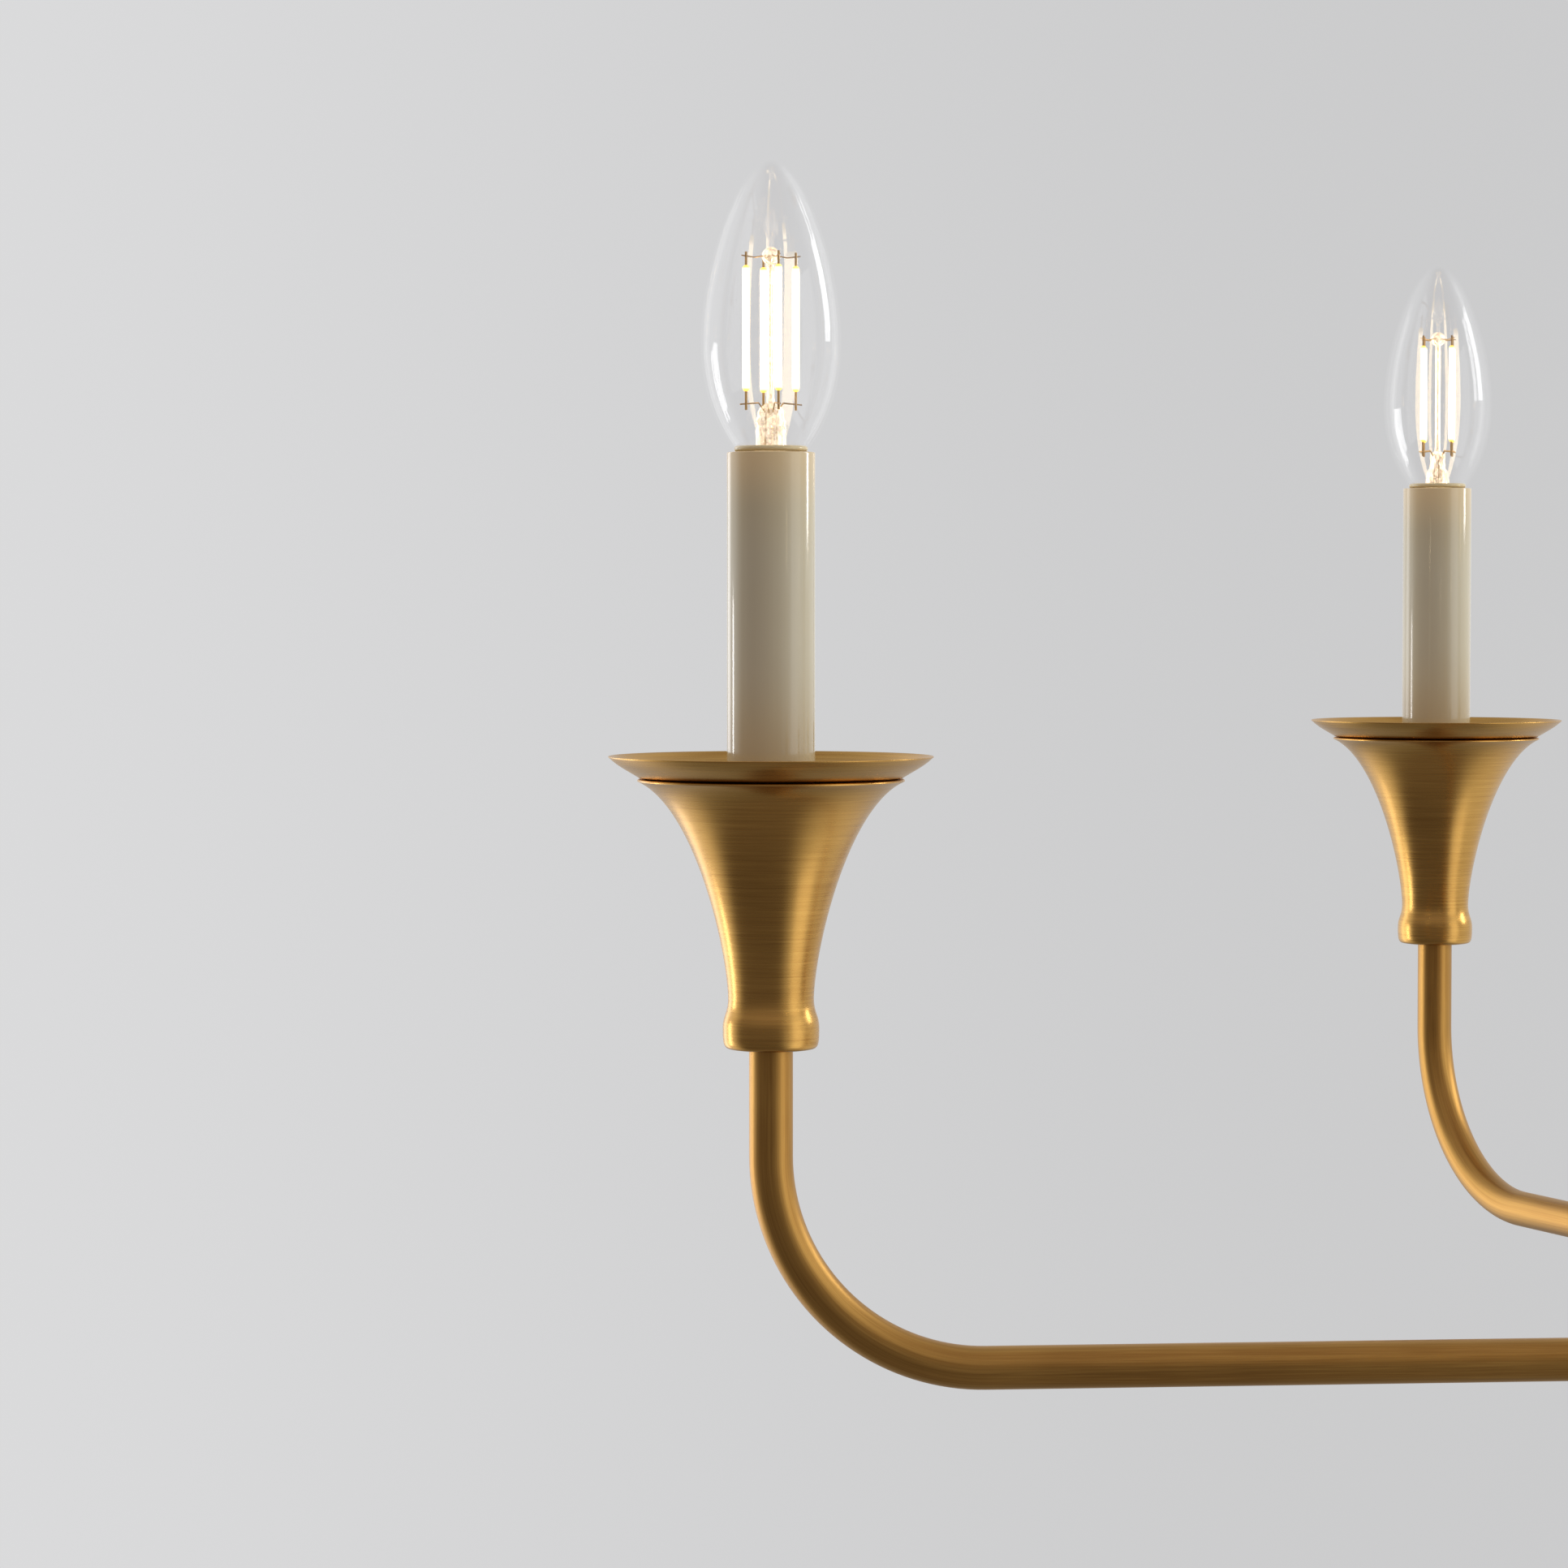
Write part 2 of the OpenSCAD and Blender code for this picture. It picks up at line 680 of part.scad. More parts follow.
module bulb_filament(i) {
  strip_foot = 15.1;
  strip_top = strip_foot + strip_length;
  low_wire_z = 12;
  high_wire_z = strip_top + 2.3;
  wire_r = 0.35;
  stem_foot_r = 3.9;
  pinch_r = 2.9;
  color("gold")
    on_sleeve(i) rotate([0, 0, cage_turn]) {
      translate([0, 0, -neck_depth]) cylinder(r = stem_foot_r, h = neck_depth + 1);
      translate([0, 0, 1]) cylinder(r1 = stem_foot_r, r2 = pinch_r, h = 6);
      translate([0, 0, 7]) cylinder(r = pinch_r, h = low_wire_z - 6);
      translate([0, 0, low_wire_z]) cylinder(r = 0.9, h = high_wire_z - low_wire_z);
      translate([0, 0, high_wire_z]) sphere(r = 2.3);
      for (k = [0:3])
        rotate([0, 0, 90 * k]) {
          for (z = [low_wire_z, high_wire_z])
            translate([0, 0, z]) rotate([0, 90, 0]) cylinder(r = wire_r, h = strip_ring_r);
          translate([strip_ring_r, 0, low_wire_z]) cylinder(r = wire_r + 0.1, h = high_wire_z - low_wire_z);
          translate([strip_ring_r, 0, strip_foot]) cylinder(r = strip_r, h = strip_length);
        }
    }
}

ceiling_bracket();
bracket_nipple();
bracket_nuts();
ground_screw();
canopy_loop();
canopy();
canopy_ring();
fixture_loop();
column_tube();
column_vase();
centre_pipe();
hub_body();
hub_cover();
finial();
hub_nipples();
lock_nuts();
wire_connectors();
arm_flexes();
candle_pipes();
lamp_holders();
chain_link(1);  // chain_link_1
chain_link(2);  // chain_link_2
chain_link(3);  // chain_link_3
chain_link(4);  // chain_link_4
chain_link(5);  // chain_link_5
arm(1);  // arm_1
arm(2);  // arm_2
arm(3);  // arm_3
arm(4);  // arm_4
arm(5);  // arm_5
candle_cup(1);  // candle_cup_1
candle_cup(2);  // candle_cup_2
candle_cup(3);  // candle_cup_3
candle_cup(4);  // candle_cup_4
candle_cup(5);  // candle_cup_5
drip_dish(1);  // drip_dish_1
drip_dish(2);  // drip_dish_2
drip_dish(3);  // drip_dish_3
drip_dish(4);  // drip_dish_4
drip_dish(5);  // drip_dish_5
candle_sleeve(1);  // candle_sleeve_1
candle_sleeve(2);  // candle_sleeve_2
candle_sleeve(3);  // candle_sleeve_3
candle_sleeve(4);  // candle_sleeve_4
candle_sleeve(5);  // candle_sleeve_5
bulb_glass(1);  // bulb_glass_1
bulb_glass(2);  // bulb_glass_2
bulb_glass(3);  // bulb_glass_3
bulb_glass(4);  // bulb_glass_4
bulb_glass(5);  // bulb_glass_5
bulb_base(1);  // bulb_base_1
bulb_base(2);  // bulb_base_2
bulb_base(3);  // bulb_base_3
bulb_base(4);  // bulb_base_4
bulb_base(5);  // bulb_base_5
bulb_filament(1);  // bulb_filament_1
bulb_filament(2);  // bulb_filament_2
bulb_filament(3);  // bulb_filament_3
bulb_filament(4);  // bulb_filament_4
bulb_filament(5);  // bulb_filament_5
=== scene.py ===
import math

import bmesh
import bpy
from mathutils import Matrix, Vector


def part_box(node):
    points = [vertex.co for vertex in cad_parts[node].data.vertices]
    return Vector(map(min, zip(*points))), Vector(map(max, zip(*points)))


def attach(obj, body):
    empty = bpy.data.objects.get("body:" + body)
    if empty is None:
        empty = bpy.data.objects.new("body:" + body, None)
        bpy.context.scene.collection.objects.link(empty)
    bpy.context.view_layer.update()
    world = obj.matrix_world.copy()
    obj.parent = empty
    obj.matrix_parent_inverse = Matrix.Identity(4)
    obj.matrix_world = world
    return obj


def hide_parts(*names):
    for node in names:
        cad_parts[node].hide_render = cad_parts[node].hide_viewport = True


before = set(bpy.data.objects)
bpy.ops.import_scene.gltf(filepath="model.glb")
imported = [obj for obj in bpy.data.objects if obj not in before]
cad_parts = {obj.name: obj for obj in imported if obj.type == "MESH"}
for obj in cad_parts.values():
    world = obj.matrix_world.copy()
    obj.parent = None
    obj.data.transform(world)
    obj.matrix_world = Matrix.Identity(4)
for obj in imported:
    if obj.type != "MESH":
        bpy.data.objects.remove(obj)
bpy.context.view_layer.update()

bl_info = {
    "name": "Candle arm chandelier",
    "version": (1, 0, 0),
    "blender": (4, 5, 0),
    "location": "3D View > Sidebar > Chandelier",
    "description": "Builds the seen surfaces and finishes of a chain-hung candle chandelier",
    "category": "Object",
}

MM = 0.001
ARMS = range(1, 6)
LINKS = range(1, 6)
FULL_TURN = 2 * math.pi


# ---------------------------------------------------------------- places

def axis_of(node):
    """Middle of a node's box in plan, and its lowest height."""
    low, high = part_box(node)
    return Vector(((low.x + high.x) / 2, (low.y + high.y) / 2, low.z))


HUB_Z = sum(corner.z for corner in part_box("hub_body")) / 2
ARM_REACH = -axis_of("candle_sleeve_1").x
CUP_FOOT_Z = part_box("candle_cup_1")[0].z
DISH_FOOT_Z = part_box("drip_dish_1")[0].z
SLEEVE_FOOT_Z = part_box("candle_sleeve_1")[0].z
SLEEVE_TOP_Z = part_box("candle_sleeve_1")[1].z

# Sizes in millimetres that the boxes don't give.
CANDLE_HOLE_R = 4.3
CUP_COLLAR_R = 12.15
CUP_HEIGHT = (DISH_FOOT_Z - CUP_FOOT_Z) / MM
CUP_LIP_R = 33.6
CUP_MOUTH_R = 32.0
CUP_WALL = 1.2
DISH_WALL = 0.45
SLEEVE_R = 11.1
SLEEVE_BORE_R = 10.1
BULB_R = 17.5
BULB_HEIGHT = 72.9
BULB_WIDE = 27.3
BULB_FOOT = -6.0
STRIPS = range(4)
STRIP_R = 0.9
STRIP_FOOT = 15.1
STRIP_LENGTH = 31.5
STRIP_RING = 6.5
CAGE_TURN = 12
WIRE_LOW = 12.0
WIRE_HIGH = STRIP_FOOT + STRIP_LENGTH + 2.3
THREAD_PITCH = 1.6
ARM_BEND_R = 54.5
SHEET_WALL = 1.5
PIPE_HOLE_R = 5.1
COLUMN_R = 8.0
COLUMN_BORE_R = 7.0
VASE_NECK_R = 10.8
VASE_TOP_R = 12.1
HUB_R = 30.0
HUB_BORE_R = 27.5
HUB_LID = 2.5
CANOPY_R = 65.0
CANOPY_DEPTH = 26.0
CANOPY_HOLE_R = 13.3
RING_R = 17.0
RING_BORE_R = 12.5
RING_TEETH = 60
LOOP_ARC = 9.5
LOOP_BAR = 2.5
LOOP_LEG = 17
LOOP_SHANK = 18.0
LINK_SLIT = 0.25

# Brush lines to the metre, across the brush.
HAIRLINES = 3000
TUBE_STREAKS = 1100
TURNED_STREAKS = 1400

# Stage sizes in metres.
CAMERA_SIDE = 0.00326
CAMERA_RISE = 0.1933
LIGHT_DISTANCE = 1.5
FLOOR_Z = -1.7
FLOOR_R = 2.2


def arm_turn(number):
    return math.pi + (number - 1) * FULL_TURN / len(ARMS)


def on_candle(number, height):
    """Matrix that sets a turned piece on a candle's axis."""
    return Matrix.Rotation(arm_turn(number), 4, "Z") @ Matrix.Translation((ARM_REACH, 0, height))


def on_column(height):
    return Matrix.Translation((0, 0, height))


# ---------------------------------------------------------------- outlines

def curve(start, pull_a, pull_b, end, steps=14):
    """Points along a curve, without its last one."""
    points = []
    for i in range(steps):
        t = i / steps
        s = 1 - t
        points.append(tuple(
            s ** 3 * a + 3 * s * s * t * b + 3 * s * t * t * c + t ** 3 * d
            for a, b, c, d in zip(start, pull_a, pull_b, end)))
    return points


def bead(centre, radius, first, last, steps=8):
    """Points round part of a circle, in degrees from the outward direction."""
    points = []
    for i in range(steps + 1):
        turn = math.radians(first + (last - first) * i / steps)
        points.append((centre[0] + radius * math.cos(turn), centre[1] + radius * math.sin(turn)))
    return points


def walled(points, wall):
    """The same line moved inwards by a wall, in reverse order.

    The line runs upwards with the solid on its left."""
    shifted = []
    for i, point in enumerate(points):
        before = Vector(points[max(i - 1, 0)])
        after = Vector(points[min(i + 1, len(points) - 1)])
        along = (after - before).normalized()
        shifted.append((max(point[0] - along.y * wall, 0), point[1] + along.x * wall))
    return shifted[::-1]


# ---------------------------------------------------------------- meshes

def outline_ring(points, closed=True):
    """A bmesh holding one outline in the plane y = 0, in millimetres."""
    bm = bmesh.new()
    verts = [bm.verts.new((r * MM, 0, z * MM)) for r, z in points]
    for a, b in zip(verts, verts[1:]):
        bm.edges.new((a, b))
    if closed:
        bm.edges.new((verts[-1], verts[0]))
    return bm


def turned(points, closed=True, steps=96):
    """A lathe-turned solid from an outline of (radius, height) in millimetres."""
    bm = outline_ring(points, closed)
    bmesh.ops.spin(bm, geom=bm.verts[:] + bm.edges[:], cent=(0, 0, 0), axis=(0, 0, 1),
                   dvec=(0, 0, 0), angle=FULL_TURN, steps=steps, use_merge=True, use_duplicate=False)
    finish_mesh(bm)
    return bm


def finish_mesh(bm):
    bmesh.ops.remove_doubles(bm, verts=bm.verts[:], dist=1e-7)
    bmesh.ops.dissolve_degenerate(bm, dist=1e-8, edges=bm.edges[:])
    bmesh.ops.recalc_face_normals(bm, faces=bm.faces[:])


def merged(*parts):
    """One bmesh that holds several closed ones."""
    whole = parts[0]
    for part in parts[1:]:
        mesh = bpy.data.meshes.new("joined")
        part.to_mesh(mesh)
        part.free()
        whole.from_mesh(mesh)
        bpy.data.meshes.remove(mesh)
    return whole


def moved(bm, matrix):
    bmesh.ops.transform(bm, matrix=matrix, verts=bm.verts[:])
    return bm


def keep_grain(bm, frame_of=None):
    """Stores where each point lies on the workpiece, so that brush lines follow its polishing."""
    layer = bm.verts.layers.float_vector.new("grain")
    for vert in bm.verts:
        vert[layer] = frame_of(vert.co) if frame_of else vert.co


def add_turned(name, bm, place, body, finish, stands_for=(), crease=40):
    """Adds a brass piece that was turned about its own axis and is then set in its place."""
    keep_grain(bm)
    moved(bm, place)
    add_piece(name, bm, body, "aged_brass", finish, stands_for, crease)


def add_piece(name, bm, body, slot, finish, stands_for=(), crease=32):
    """Makes the object, with sharp edges only where the surface really turns a corner."""
    limit = math.radians(crease)
    for face in bm.faces:
        face.smooth = True
    for edge in bm.edges:
        edge.smooth = len(edge.link_faces) == 2 and edge.calc_face_angle(0) < limit
    mesh = bpy.data.meshes.new(name)
    bm.to_mesh(mesh)
    bm.free()
    mesh.materials.append(finish)
    piece = bpy.data.objects.new(name, mesh)
    bpy.context.scene.collection.objects.link(piece)
    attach(piece, body)
    if stands_for:
        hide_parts(*stands_for)


def placed_copies(make, numbers, name, body, slot, finish, node, height, **options):
    """The same turned piece on each candle."""
    for number in numbers:
        bm = make()
        keep_grain(bm)
        moved(bm, on_candle(number, height))
        add_piece(f"{name}_{number}", bm, body.format(number), slot, finish,
                  (f"{node}_{number}",) if node else (), **options)


def bar_along(stations, radius, sides=24, bore=0):
    """A round bar swept through straight runs and bends.

    stations lists ("run", way) and ("bend", centre, axis, angle, steps) in order. The bar starts at
    the origin, looking along +X, and is solid unless it has a bore."""
    bm = bmesh.new()
    turn = Matrix.Rotation(math.pi / 2, 4, "Y")
    outer = bmesh.ops.create_circle(bm, cap_ends=not bore, segments=sides, radius=radius, matrix=turn)
    if bore:
        inner = bmesh.ops.create_circle(bm, cap_ends=False, segments=sides, radius=bore, matrix=turn)
        edges = {e for v in outer["verts"] + inner["verts"] for e in v.link_edges}
        bmesh.ops.bridge_loops(bm, edges=list(edges))
    front = bm.faces[:]
    for step in stations:
        if step[0] == "run":
            grown = bmesh.ops.extrude_face_region(bm, geom=front)
            bmesh.ops.translate(bm, vec=step[1],
                                verts=[g for g in grown["geom"] if isinstance(g, bmesh.types.BMVert)])
            stale = front
            front = [g for g in grown["geom"] if isinstance(g, bmesh.types.BMFace)]
            if step is not stations[0]:
                bmesh.ops.delete(bm, geom=[f for f in stale if f.is_valid], context="FACES_ONLY")
        else:
            _, centre, axis, angle, count = step
            grown = bmesh.ops.spin(bm, geom=front, cent=centre, axis=axis, dvec=(0, 0, 0),
                                   angle=angle, steps=count, use_merge=False, use_duplicate=False)
            front = [g for g in grown["geom_last"] if isinstance(g, bmesh.types.BMFace)]
    finish_mesh(bm)
    return bm


# ---------------------------------------------------------------- shading

def feed(tree, socket, value):
    """Puts a number, a colour or a link into a socket."""
    if isinstance(value, Wave):
        tree.links.new(value.socket, socket)
    else:
        socket.default_value = value


class Wave:
    """A value that varies over a surface. Python arithmetic on it adds Math nodes."""

    def __init__(self, tree, socket):
        self.tree = tree
        self.socket = socket

    def _math(self, operation, first, second):
        node = self.tree.nodes.new("ShaderNodeMath")
        node.operation = operation
        feed(self.tree, node.inputs[0], first)
        feed(self.tree, node.inputs[1], second)
        return Wave(self.tree, node.outputs[0])

    def __add__(self, other):
        return self._math("ADD", self, other)

    __radd__ = __add__

    def __sub__(self, other):
        return self._math("SUBTRACT", self, other)

    def __rsub__(self, other):
        return self._math("SUBTRACT", other, self)

    def __mul__(self, other):
        return self._math("MULTIPLY", self, other)

    __rmul__ = __mul__

    def __pow__(self, other):
        return self._math("POWER", self, other)


class Finish:
    """One material or world, with a short way to add any node."""

    def __init__(self, owner):
        owner.use_nodes = True
        self.tree = owner.node_tree
        self.owner = owner

    def node(self, kind, settings=None, inputs=None, output=0):
        node = self.tree.nodes.new(kind)
        for key, value in (settings or {}).items():
            if key == "stops":
                ramp = node.color_ramp.elements
                ramp[0].position, ramp[0].color = value[0]
                ramp[1].position, ramp[1].color = value[-1]
                for place, colour in value[1:-1]:
                    ramp.new(place).color = colour
            else:
                setattr(node, key, value)
        for key, value in (inputs or {}).items():
            feed(self.tree, node.inputs[key], value)
        return Wave(self.tree, node.outputs[output])

    def grain(self):
        """x, y and z on the workpiece, in metres."""
        return self.split(self.node("ShaderNodeAttribute", {"attribute_name": "grain"}, output="Vector"))

    def split(self, place):
        """x, y and z of a vector."""
        node = self.node("ShaderNodeSeparateXYZ", inputs={0: place}).socket.node
        return [Wave(self.tree, node.outputs[i]) for i in range(3)]

    def step_of(self, value, low, high, first=0.0, last=1.0):
        """Smooth step of a value, from first at low to last at high."""
        return self.node("ShaderNodeMapRange", {"interpolation_type": "SMOOTHSTEP"}, {
            "Value": value, "From Min": low, "From Max": high, "To Min": first, "To Max": last})

    def noise(self, x, y, z, w=None, detail=2.0, rough=0.5):
        where = self.node("ShaderNodeCombineXYZ", inputs={0: x, 1: y, 2: z})
        inputs = {"Vector": where, "Scale": 1.0, "Detail": detail, "Roughness": rough}
        if w is not None:
            inputs["W"] = w
        return self.node("ShaderNodeTexNoise", {"noise_dimensions": "3D" if w is None else "4D"}, inputs)

    def blend(self, amount, first, second):
        node = self.tree.nodes.new("ShaderNodeMix")
        node.data_type = "RGBA"
        node.clamp_factor = True
        feed(self.tree, node.inputs[0], amount)
        feed(self.tree, node.inputs[6], first)
        feed(self.tree, node.inputs[7], second)
        return Wave(self.tree, node.outputs[2])

    def shade(self, values, bump=None):
        shader = next(n for n in self.tree.nodes if n.type == "BSDF_PRINCIPLED")
        for key, value in values.items():
            feed(self.tree, shader.inputs[key], value)
        if bump:
            height, depth, strength = bump
            normal = self.node("ShaderNodeBump", inputs={
                "Height": height, "Distance": depth, "Strength": strength}, output="Normal")
            self.tree.links.new(normal.socket, shader.inputs["Normal"])
        return self.owner


def new_finish(name):
    """A material with its shader alone, also when its operator runs again."""
    finish = Finish(bpy.data.materials.get(name) or bpy.data.materials.new(name))
    for node in list(finish.tree.nodes):
        if node.type not in {"BSDF_PRINCIPLED", "OUTPUT_MATERIAL"}:
            finish.tree.nodes.remove(node)
    return finish


def aged_brass(name, lengthwise):
    """Satin aged brass. The brush lines run round a turned piece, or lengthwise on a tube."""
    depth, smear = (0.2, 0.12) if lengthwise else (0.55, 0.0)
    looks = bpy.context.scene.chandelier_finishes
    finish = new_finish(name)
    x, y, z = finish.grain()
    if lengthwise:
        fine = finish.noise(x * HAIRLINES, y * HAIRLINES, z * 40, rough=0.6)
        strokes = finish.noise(x * TUBE_STREAKS, y * TUBE_STREAKS, z * 12, detail=1.0)
    else:
        radius = (x * x + y * y) ** 0.5
        fine = finish.noise(x * 55, y * 55, z * HAIRLINES, radius * HAIRLINES, rough=0.6)
        strokes = finish.noise(x * 35, y * 35, z * TURNED_STREAKS, radius * TURNED_STREAKS, detail=1.0)
    clouds = finish.noise(x * 45, y * 45, z * 32)
    tone = (fine - 0.5) + (strokes - 0.5) * 0.55 + (clouds - 0.5) * 0.6 + depth
    colour = finish.blend(tone, (*looks.brass_dark, 1), (*looks.brass_light, 1))
    rough = looks.brass_roughness + smear + (fine - 0.5) * 0.18 + (clouds - 0.5) * 0.12
    return finish.shade({"Base Color": colour, "Metallic": 1.0, "Roughness": rough},
                        bump=(fine * 0.6 + strokes * 0.6, 0.00004, looks.brush_depth))


def plated_steel(name, colour, roughness):
    finish = new_finish(name)
    where = finish.node("ShaderNodeTexCoord", output="Object")
    grime = finish.node("ShaderNodeTexNoise", inputs={"Vector": where, "Scale": 160.0, "Detail": 4.0})
    dark = tuple(c * 0.7 for c in colour)
    return finish.shade({"Base Color": finish.blend(grime, (*dark, 1), (*colour, 1)), "Metallic": 1.0,
                         "Roughness": roughness + (grime - 0.5) * 0.2},
                        bump=(grime, 0.00004, 0.25))


def moulded(name, colour, roughness, speckle=900.0):
    """Moulded plastic with the faint mottle and skin that moulding leaves."""
    finish = new_finish(name)
    where = finish.node("ShaderNodeTexCoord", output="Object")
    skin = finish.node("ShaderNodeTexNoise", inputs={"Vector": where, "Scale": speckle, "Detail": 2.0})
    cloud = finish.node("ShaderNodeTexNoise", inputs={"Vector": where, "Scale": 55.0, "Detail": 2.0})
    deep = tuple(c * 0.86 for c in colour)
    return finish.shade({"Base Color": finish.blend(cloud, (*deep, 1), (*colour, 1)),
                         "Roughness": roughness + (skin - 0.5) * 0.06, "IOR": 1.5},
                        bump=(skin, 0.00002, 0.12))


def ivory_sleeve(name):
    """Glossy ivory candle sleeve, with painted light: emission near the top end for the lit bulb, and a
    yellower base colour at both ends for the bulb's light above and the brass dish's reflection below.
    """
    looks = bpy.context.scene.chandelier_finishes
    finish = new_finish(name)
    x, y, z = finish.grain()
    streak = finish.noise(x * 900, y * 900, z * 8, detail=1.0)
    cloud = finish.noise(x * 60, y * 60, z * 30)
    pale = looks.sleeve_colour
    # Painted light: a yellower base colour at both ends of the sleeve, for the bulb's light at the top and
    # the brass dish's reflection at the bottom.
    painted_warm_tint = tuple(c * t for c, t in zip(pale, (1.0, 0.93, 0.8)))
    deep = tuple(c * t for c, t in zip(pale, (0.93, 0.9, 0.84)))
    length = SLEEVE_TOP_Z - SLEEVE_FOOT_Z
    off_middle = ((z - length / 2) ** 2.0) ** 0.5
    ends = finish.step_of(off_middle, length * 0.12, length * 0.5)
    # Painted light: emission that rises towards the top end, for the bulb's light through the sleeve.
    painted_light_reach = finish.step_of(z, length - 0.016, length + 0.002)
    painted_bulb_glow = finish.blend(painted_light_reach, (0.012, 0.006, 0, 1), (0.13, 0.06, 0.01, 1))
    mottled = finish.blend(cloud * 0.8 + streak * 0.3, (*deep, 1), (*pale, 1))
    return finish.shade({"Base Color": finish.blend(ends, mottled, (*painted_warm_tint, 1)),
                         "Roughness": 0.09 + streak * 0.05, "IOR": 1.5, "Coat Weight": 0.35,
                         "Coat Roughness": 0.04, "Emission Color": painted_bulb_glow, "Emission Strength": 0.7},
                        bump=(streak, 0.00001, 0.1))


def clear_glass(name, tint, body, edge, lit=None):
    """Thin clear glass: almost nothing face on, and a reflecting edge.

    Given a strength, the glass near the strips gets painted light: emission speckles, amber and pale
    yellow, for the strips' light caught in it."""
    finish = new_finish(name)
    if lit:
        x, y, z = finish.grain()
        # Painted light: amber and pale yellow emission speckles where the strips' light catches in the
        # glass.
        ripple = finish.noise(x * 700, y * 700, z * 600, detail=3.0, rough=0.75)
        painted_sparkle = finish.blend((ripple - 0.46) * 9, (0.3, 0.17, 0.05, 1), (1.0, 0.86, 0.62, 1))
        finish.shade({"Emission Color": painted_sparkle, "Emission Strength": lit})
    facing = finish.node("ShaderNodeLayerWeight", inputs={"Blend": 0.5}, output="Facing")
    alpha = body + (facing ** 15.0) * edge
    return finish.shade({"Base Color": (*tint, 1), "Metallic": 1.0, "Roughness": 0.015, "Alpha": alpha})


def glowing(name):
    """Phosphor strip: near white where it is lit, yellow at its unlit ends."""
    looks = bpy.context.scene.chandelier_finishes
    finish = new_finish(name)
    z = finish.grain()[2]
    middle = (STRIP_FOOT + STRIP_LENGTH / 2) * MM
    away = ((z - middle) ** 2.0) ** 0.5
    end = finish.step_of(away, STRIP_LENGTH * MM * 0.44, STRIP_LENGTH * MM * 0.49)
    colour = finish.blend(end, (*looks.glow_colour, 1), (0.30, 0.19, 0.02, 1))
    return finish.shade({"Base Color": (0.9, 0.65, 0.2, 1), "Roughness": 0.5, "Emission Color": colour,
                         "Emission Strength": looks.glow_strength})


# ---------------------------------------------------------------- shapes, in millimetres

def candle_cup():
    """Trumpet cup with a rounded collar, open at the top under the dish."""
    neck = (10.8, 12.5)
    pulls = ((10.8, 23.8), (18.9, 60.9))
    side = (CUP_COLLAR_R, 5.2)
    mouth = (CUP_MOUTH_R, CUP_HEIGHT - 0.95)
    lip = 0.42
    floor = 9.5
    outside = (
        [(CANDLE_HOLE_R, 0.0), (9.2, 0.0)]
        + curve((10.6, 0.2), (11.9, 0.4), (CUP_COLLAR_R, 1.4), side, 12)
        + curve(side, (CUP_COLLAR_R, 8.6), (10.9, 9.0), neck, 14)
        + curve(neck, *pulls, (CUP_LIP_R - 0.06, CUP_HEIGHT - 0.55), 44)
        + bead((CUP_LIP_R - lip, CUP_HEIGHT - lip), lip, -20, 90, 5))
    inside = walled(curve(neck, *pulls, mouth, 20) + [mouth], CUP_WALL)
    return turned(outside + inside + [(9.6, floor), (CANDLE_HOLE_R, floor)])


def drip_dish():
    """Spun saucer: flat floor, a shadow gap over the cup's lip, a flared wall and a thin rounded rim."""
    flare = curve((33.6, 0.6), (36.1, 2.2), (38.6, 3.3), (40.7, 5.45), 16)
    floor = 0.8
    underside = [(CANDLE_HOLE_R, 0.0), (31.4, 0.0), (31.9, 0.3), (33.2, 0.35)]
    rim = bead((40.66, 5.58), 0.2, -40, 140, 6)
    return turned(underside + flare + rim + walled(flare, DISH_WALL)
                  + [(32.2, 0.95), (31.5, floor), (CANDLE_HOLE_R, floor)])


def candle_sleeve():
    """Ivory tube with a softened top edge."""
    length = (SLEEVE_TOP_Z - SLEEVE_FOOT_Z) / MM
    edge = 0.28
    return turned(
        [(SLEEVE_BORE_R, 0), (SLEEVE_R, 0)]
        + bead((SLEEVE_R - edge, length - edge), edge, 0, 90, 5)
        + bead((SLEEVE_BORE_R + edge, length - edge), edge, 90, 180, 5))


def bulb_shell():
    """Blown glass envelope with a drawn tip and a turned-in foot."""
    belly = (BULB_R, BULB_WIDE)
    tip = (0, BULB_HEIGHT)
    outside = (
        [(5.2, BULB_FOOT), (5.2, -3.0), (6.6, -1.9)]
        + curve((7.6, -1.4), (8.6, 0.0), (BULB_R, BULB_WIDE - 18.1), belly, 26)
        + curve(belly, (BULB_R, BULB_WIDE + 20.2), (7.6, BULB_HEIGHT), tip, 40)
        + [tip])
    inside = walled(outside[1:], 0.7)
    return turned(outside + inside + [(4.5, BULB_FOOT)], closed=False, steps=72)


def neck_ring():
    """Rolled glass foot of the bulb, seen as a cream ring on top of the sleeve."""
    roll = 0.72
    return turned(bead((8.55, 0.85), roll, -90, 90, 8) + bead((7.6, 0.85), roll, 90, 270, 8), steps=72)


def strip_turn(number):
    """Four strips stand on a ring, turned a little from the front."""
    return Matrix.Rotation(math.radians(CAGE_TURN + 90 * number), 4, "Z")


def lit_strips():
    """Round-ended phosphor rods."""
    parts = []
    for number in STRIPS:
        rod = turned(bead((0, STRIP_FOOT + STRIP_R), STRIP_R, -90, 0, 6)
                     + bead((0, STRIP_FOOT + STRIP_LENGTH - STRIP_R), STRIP_R, 0, 90, 6),
                     closed=False, steps=16)
        parts.append(moved(rod, strip_turn(number) @ Matrix.Translation((STRIP_RING * MM, 0, 0))))
    return merged(*parts)


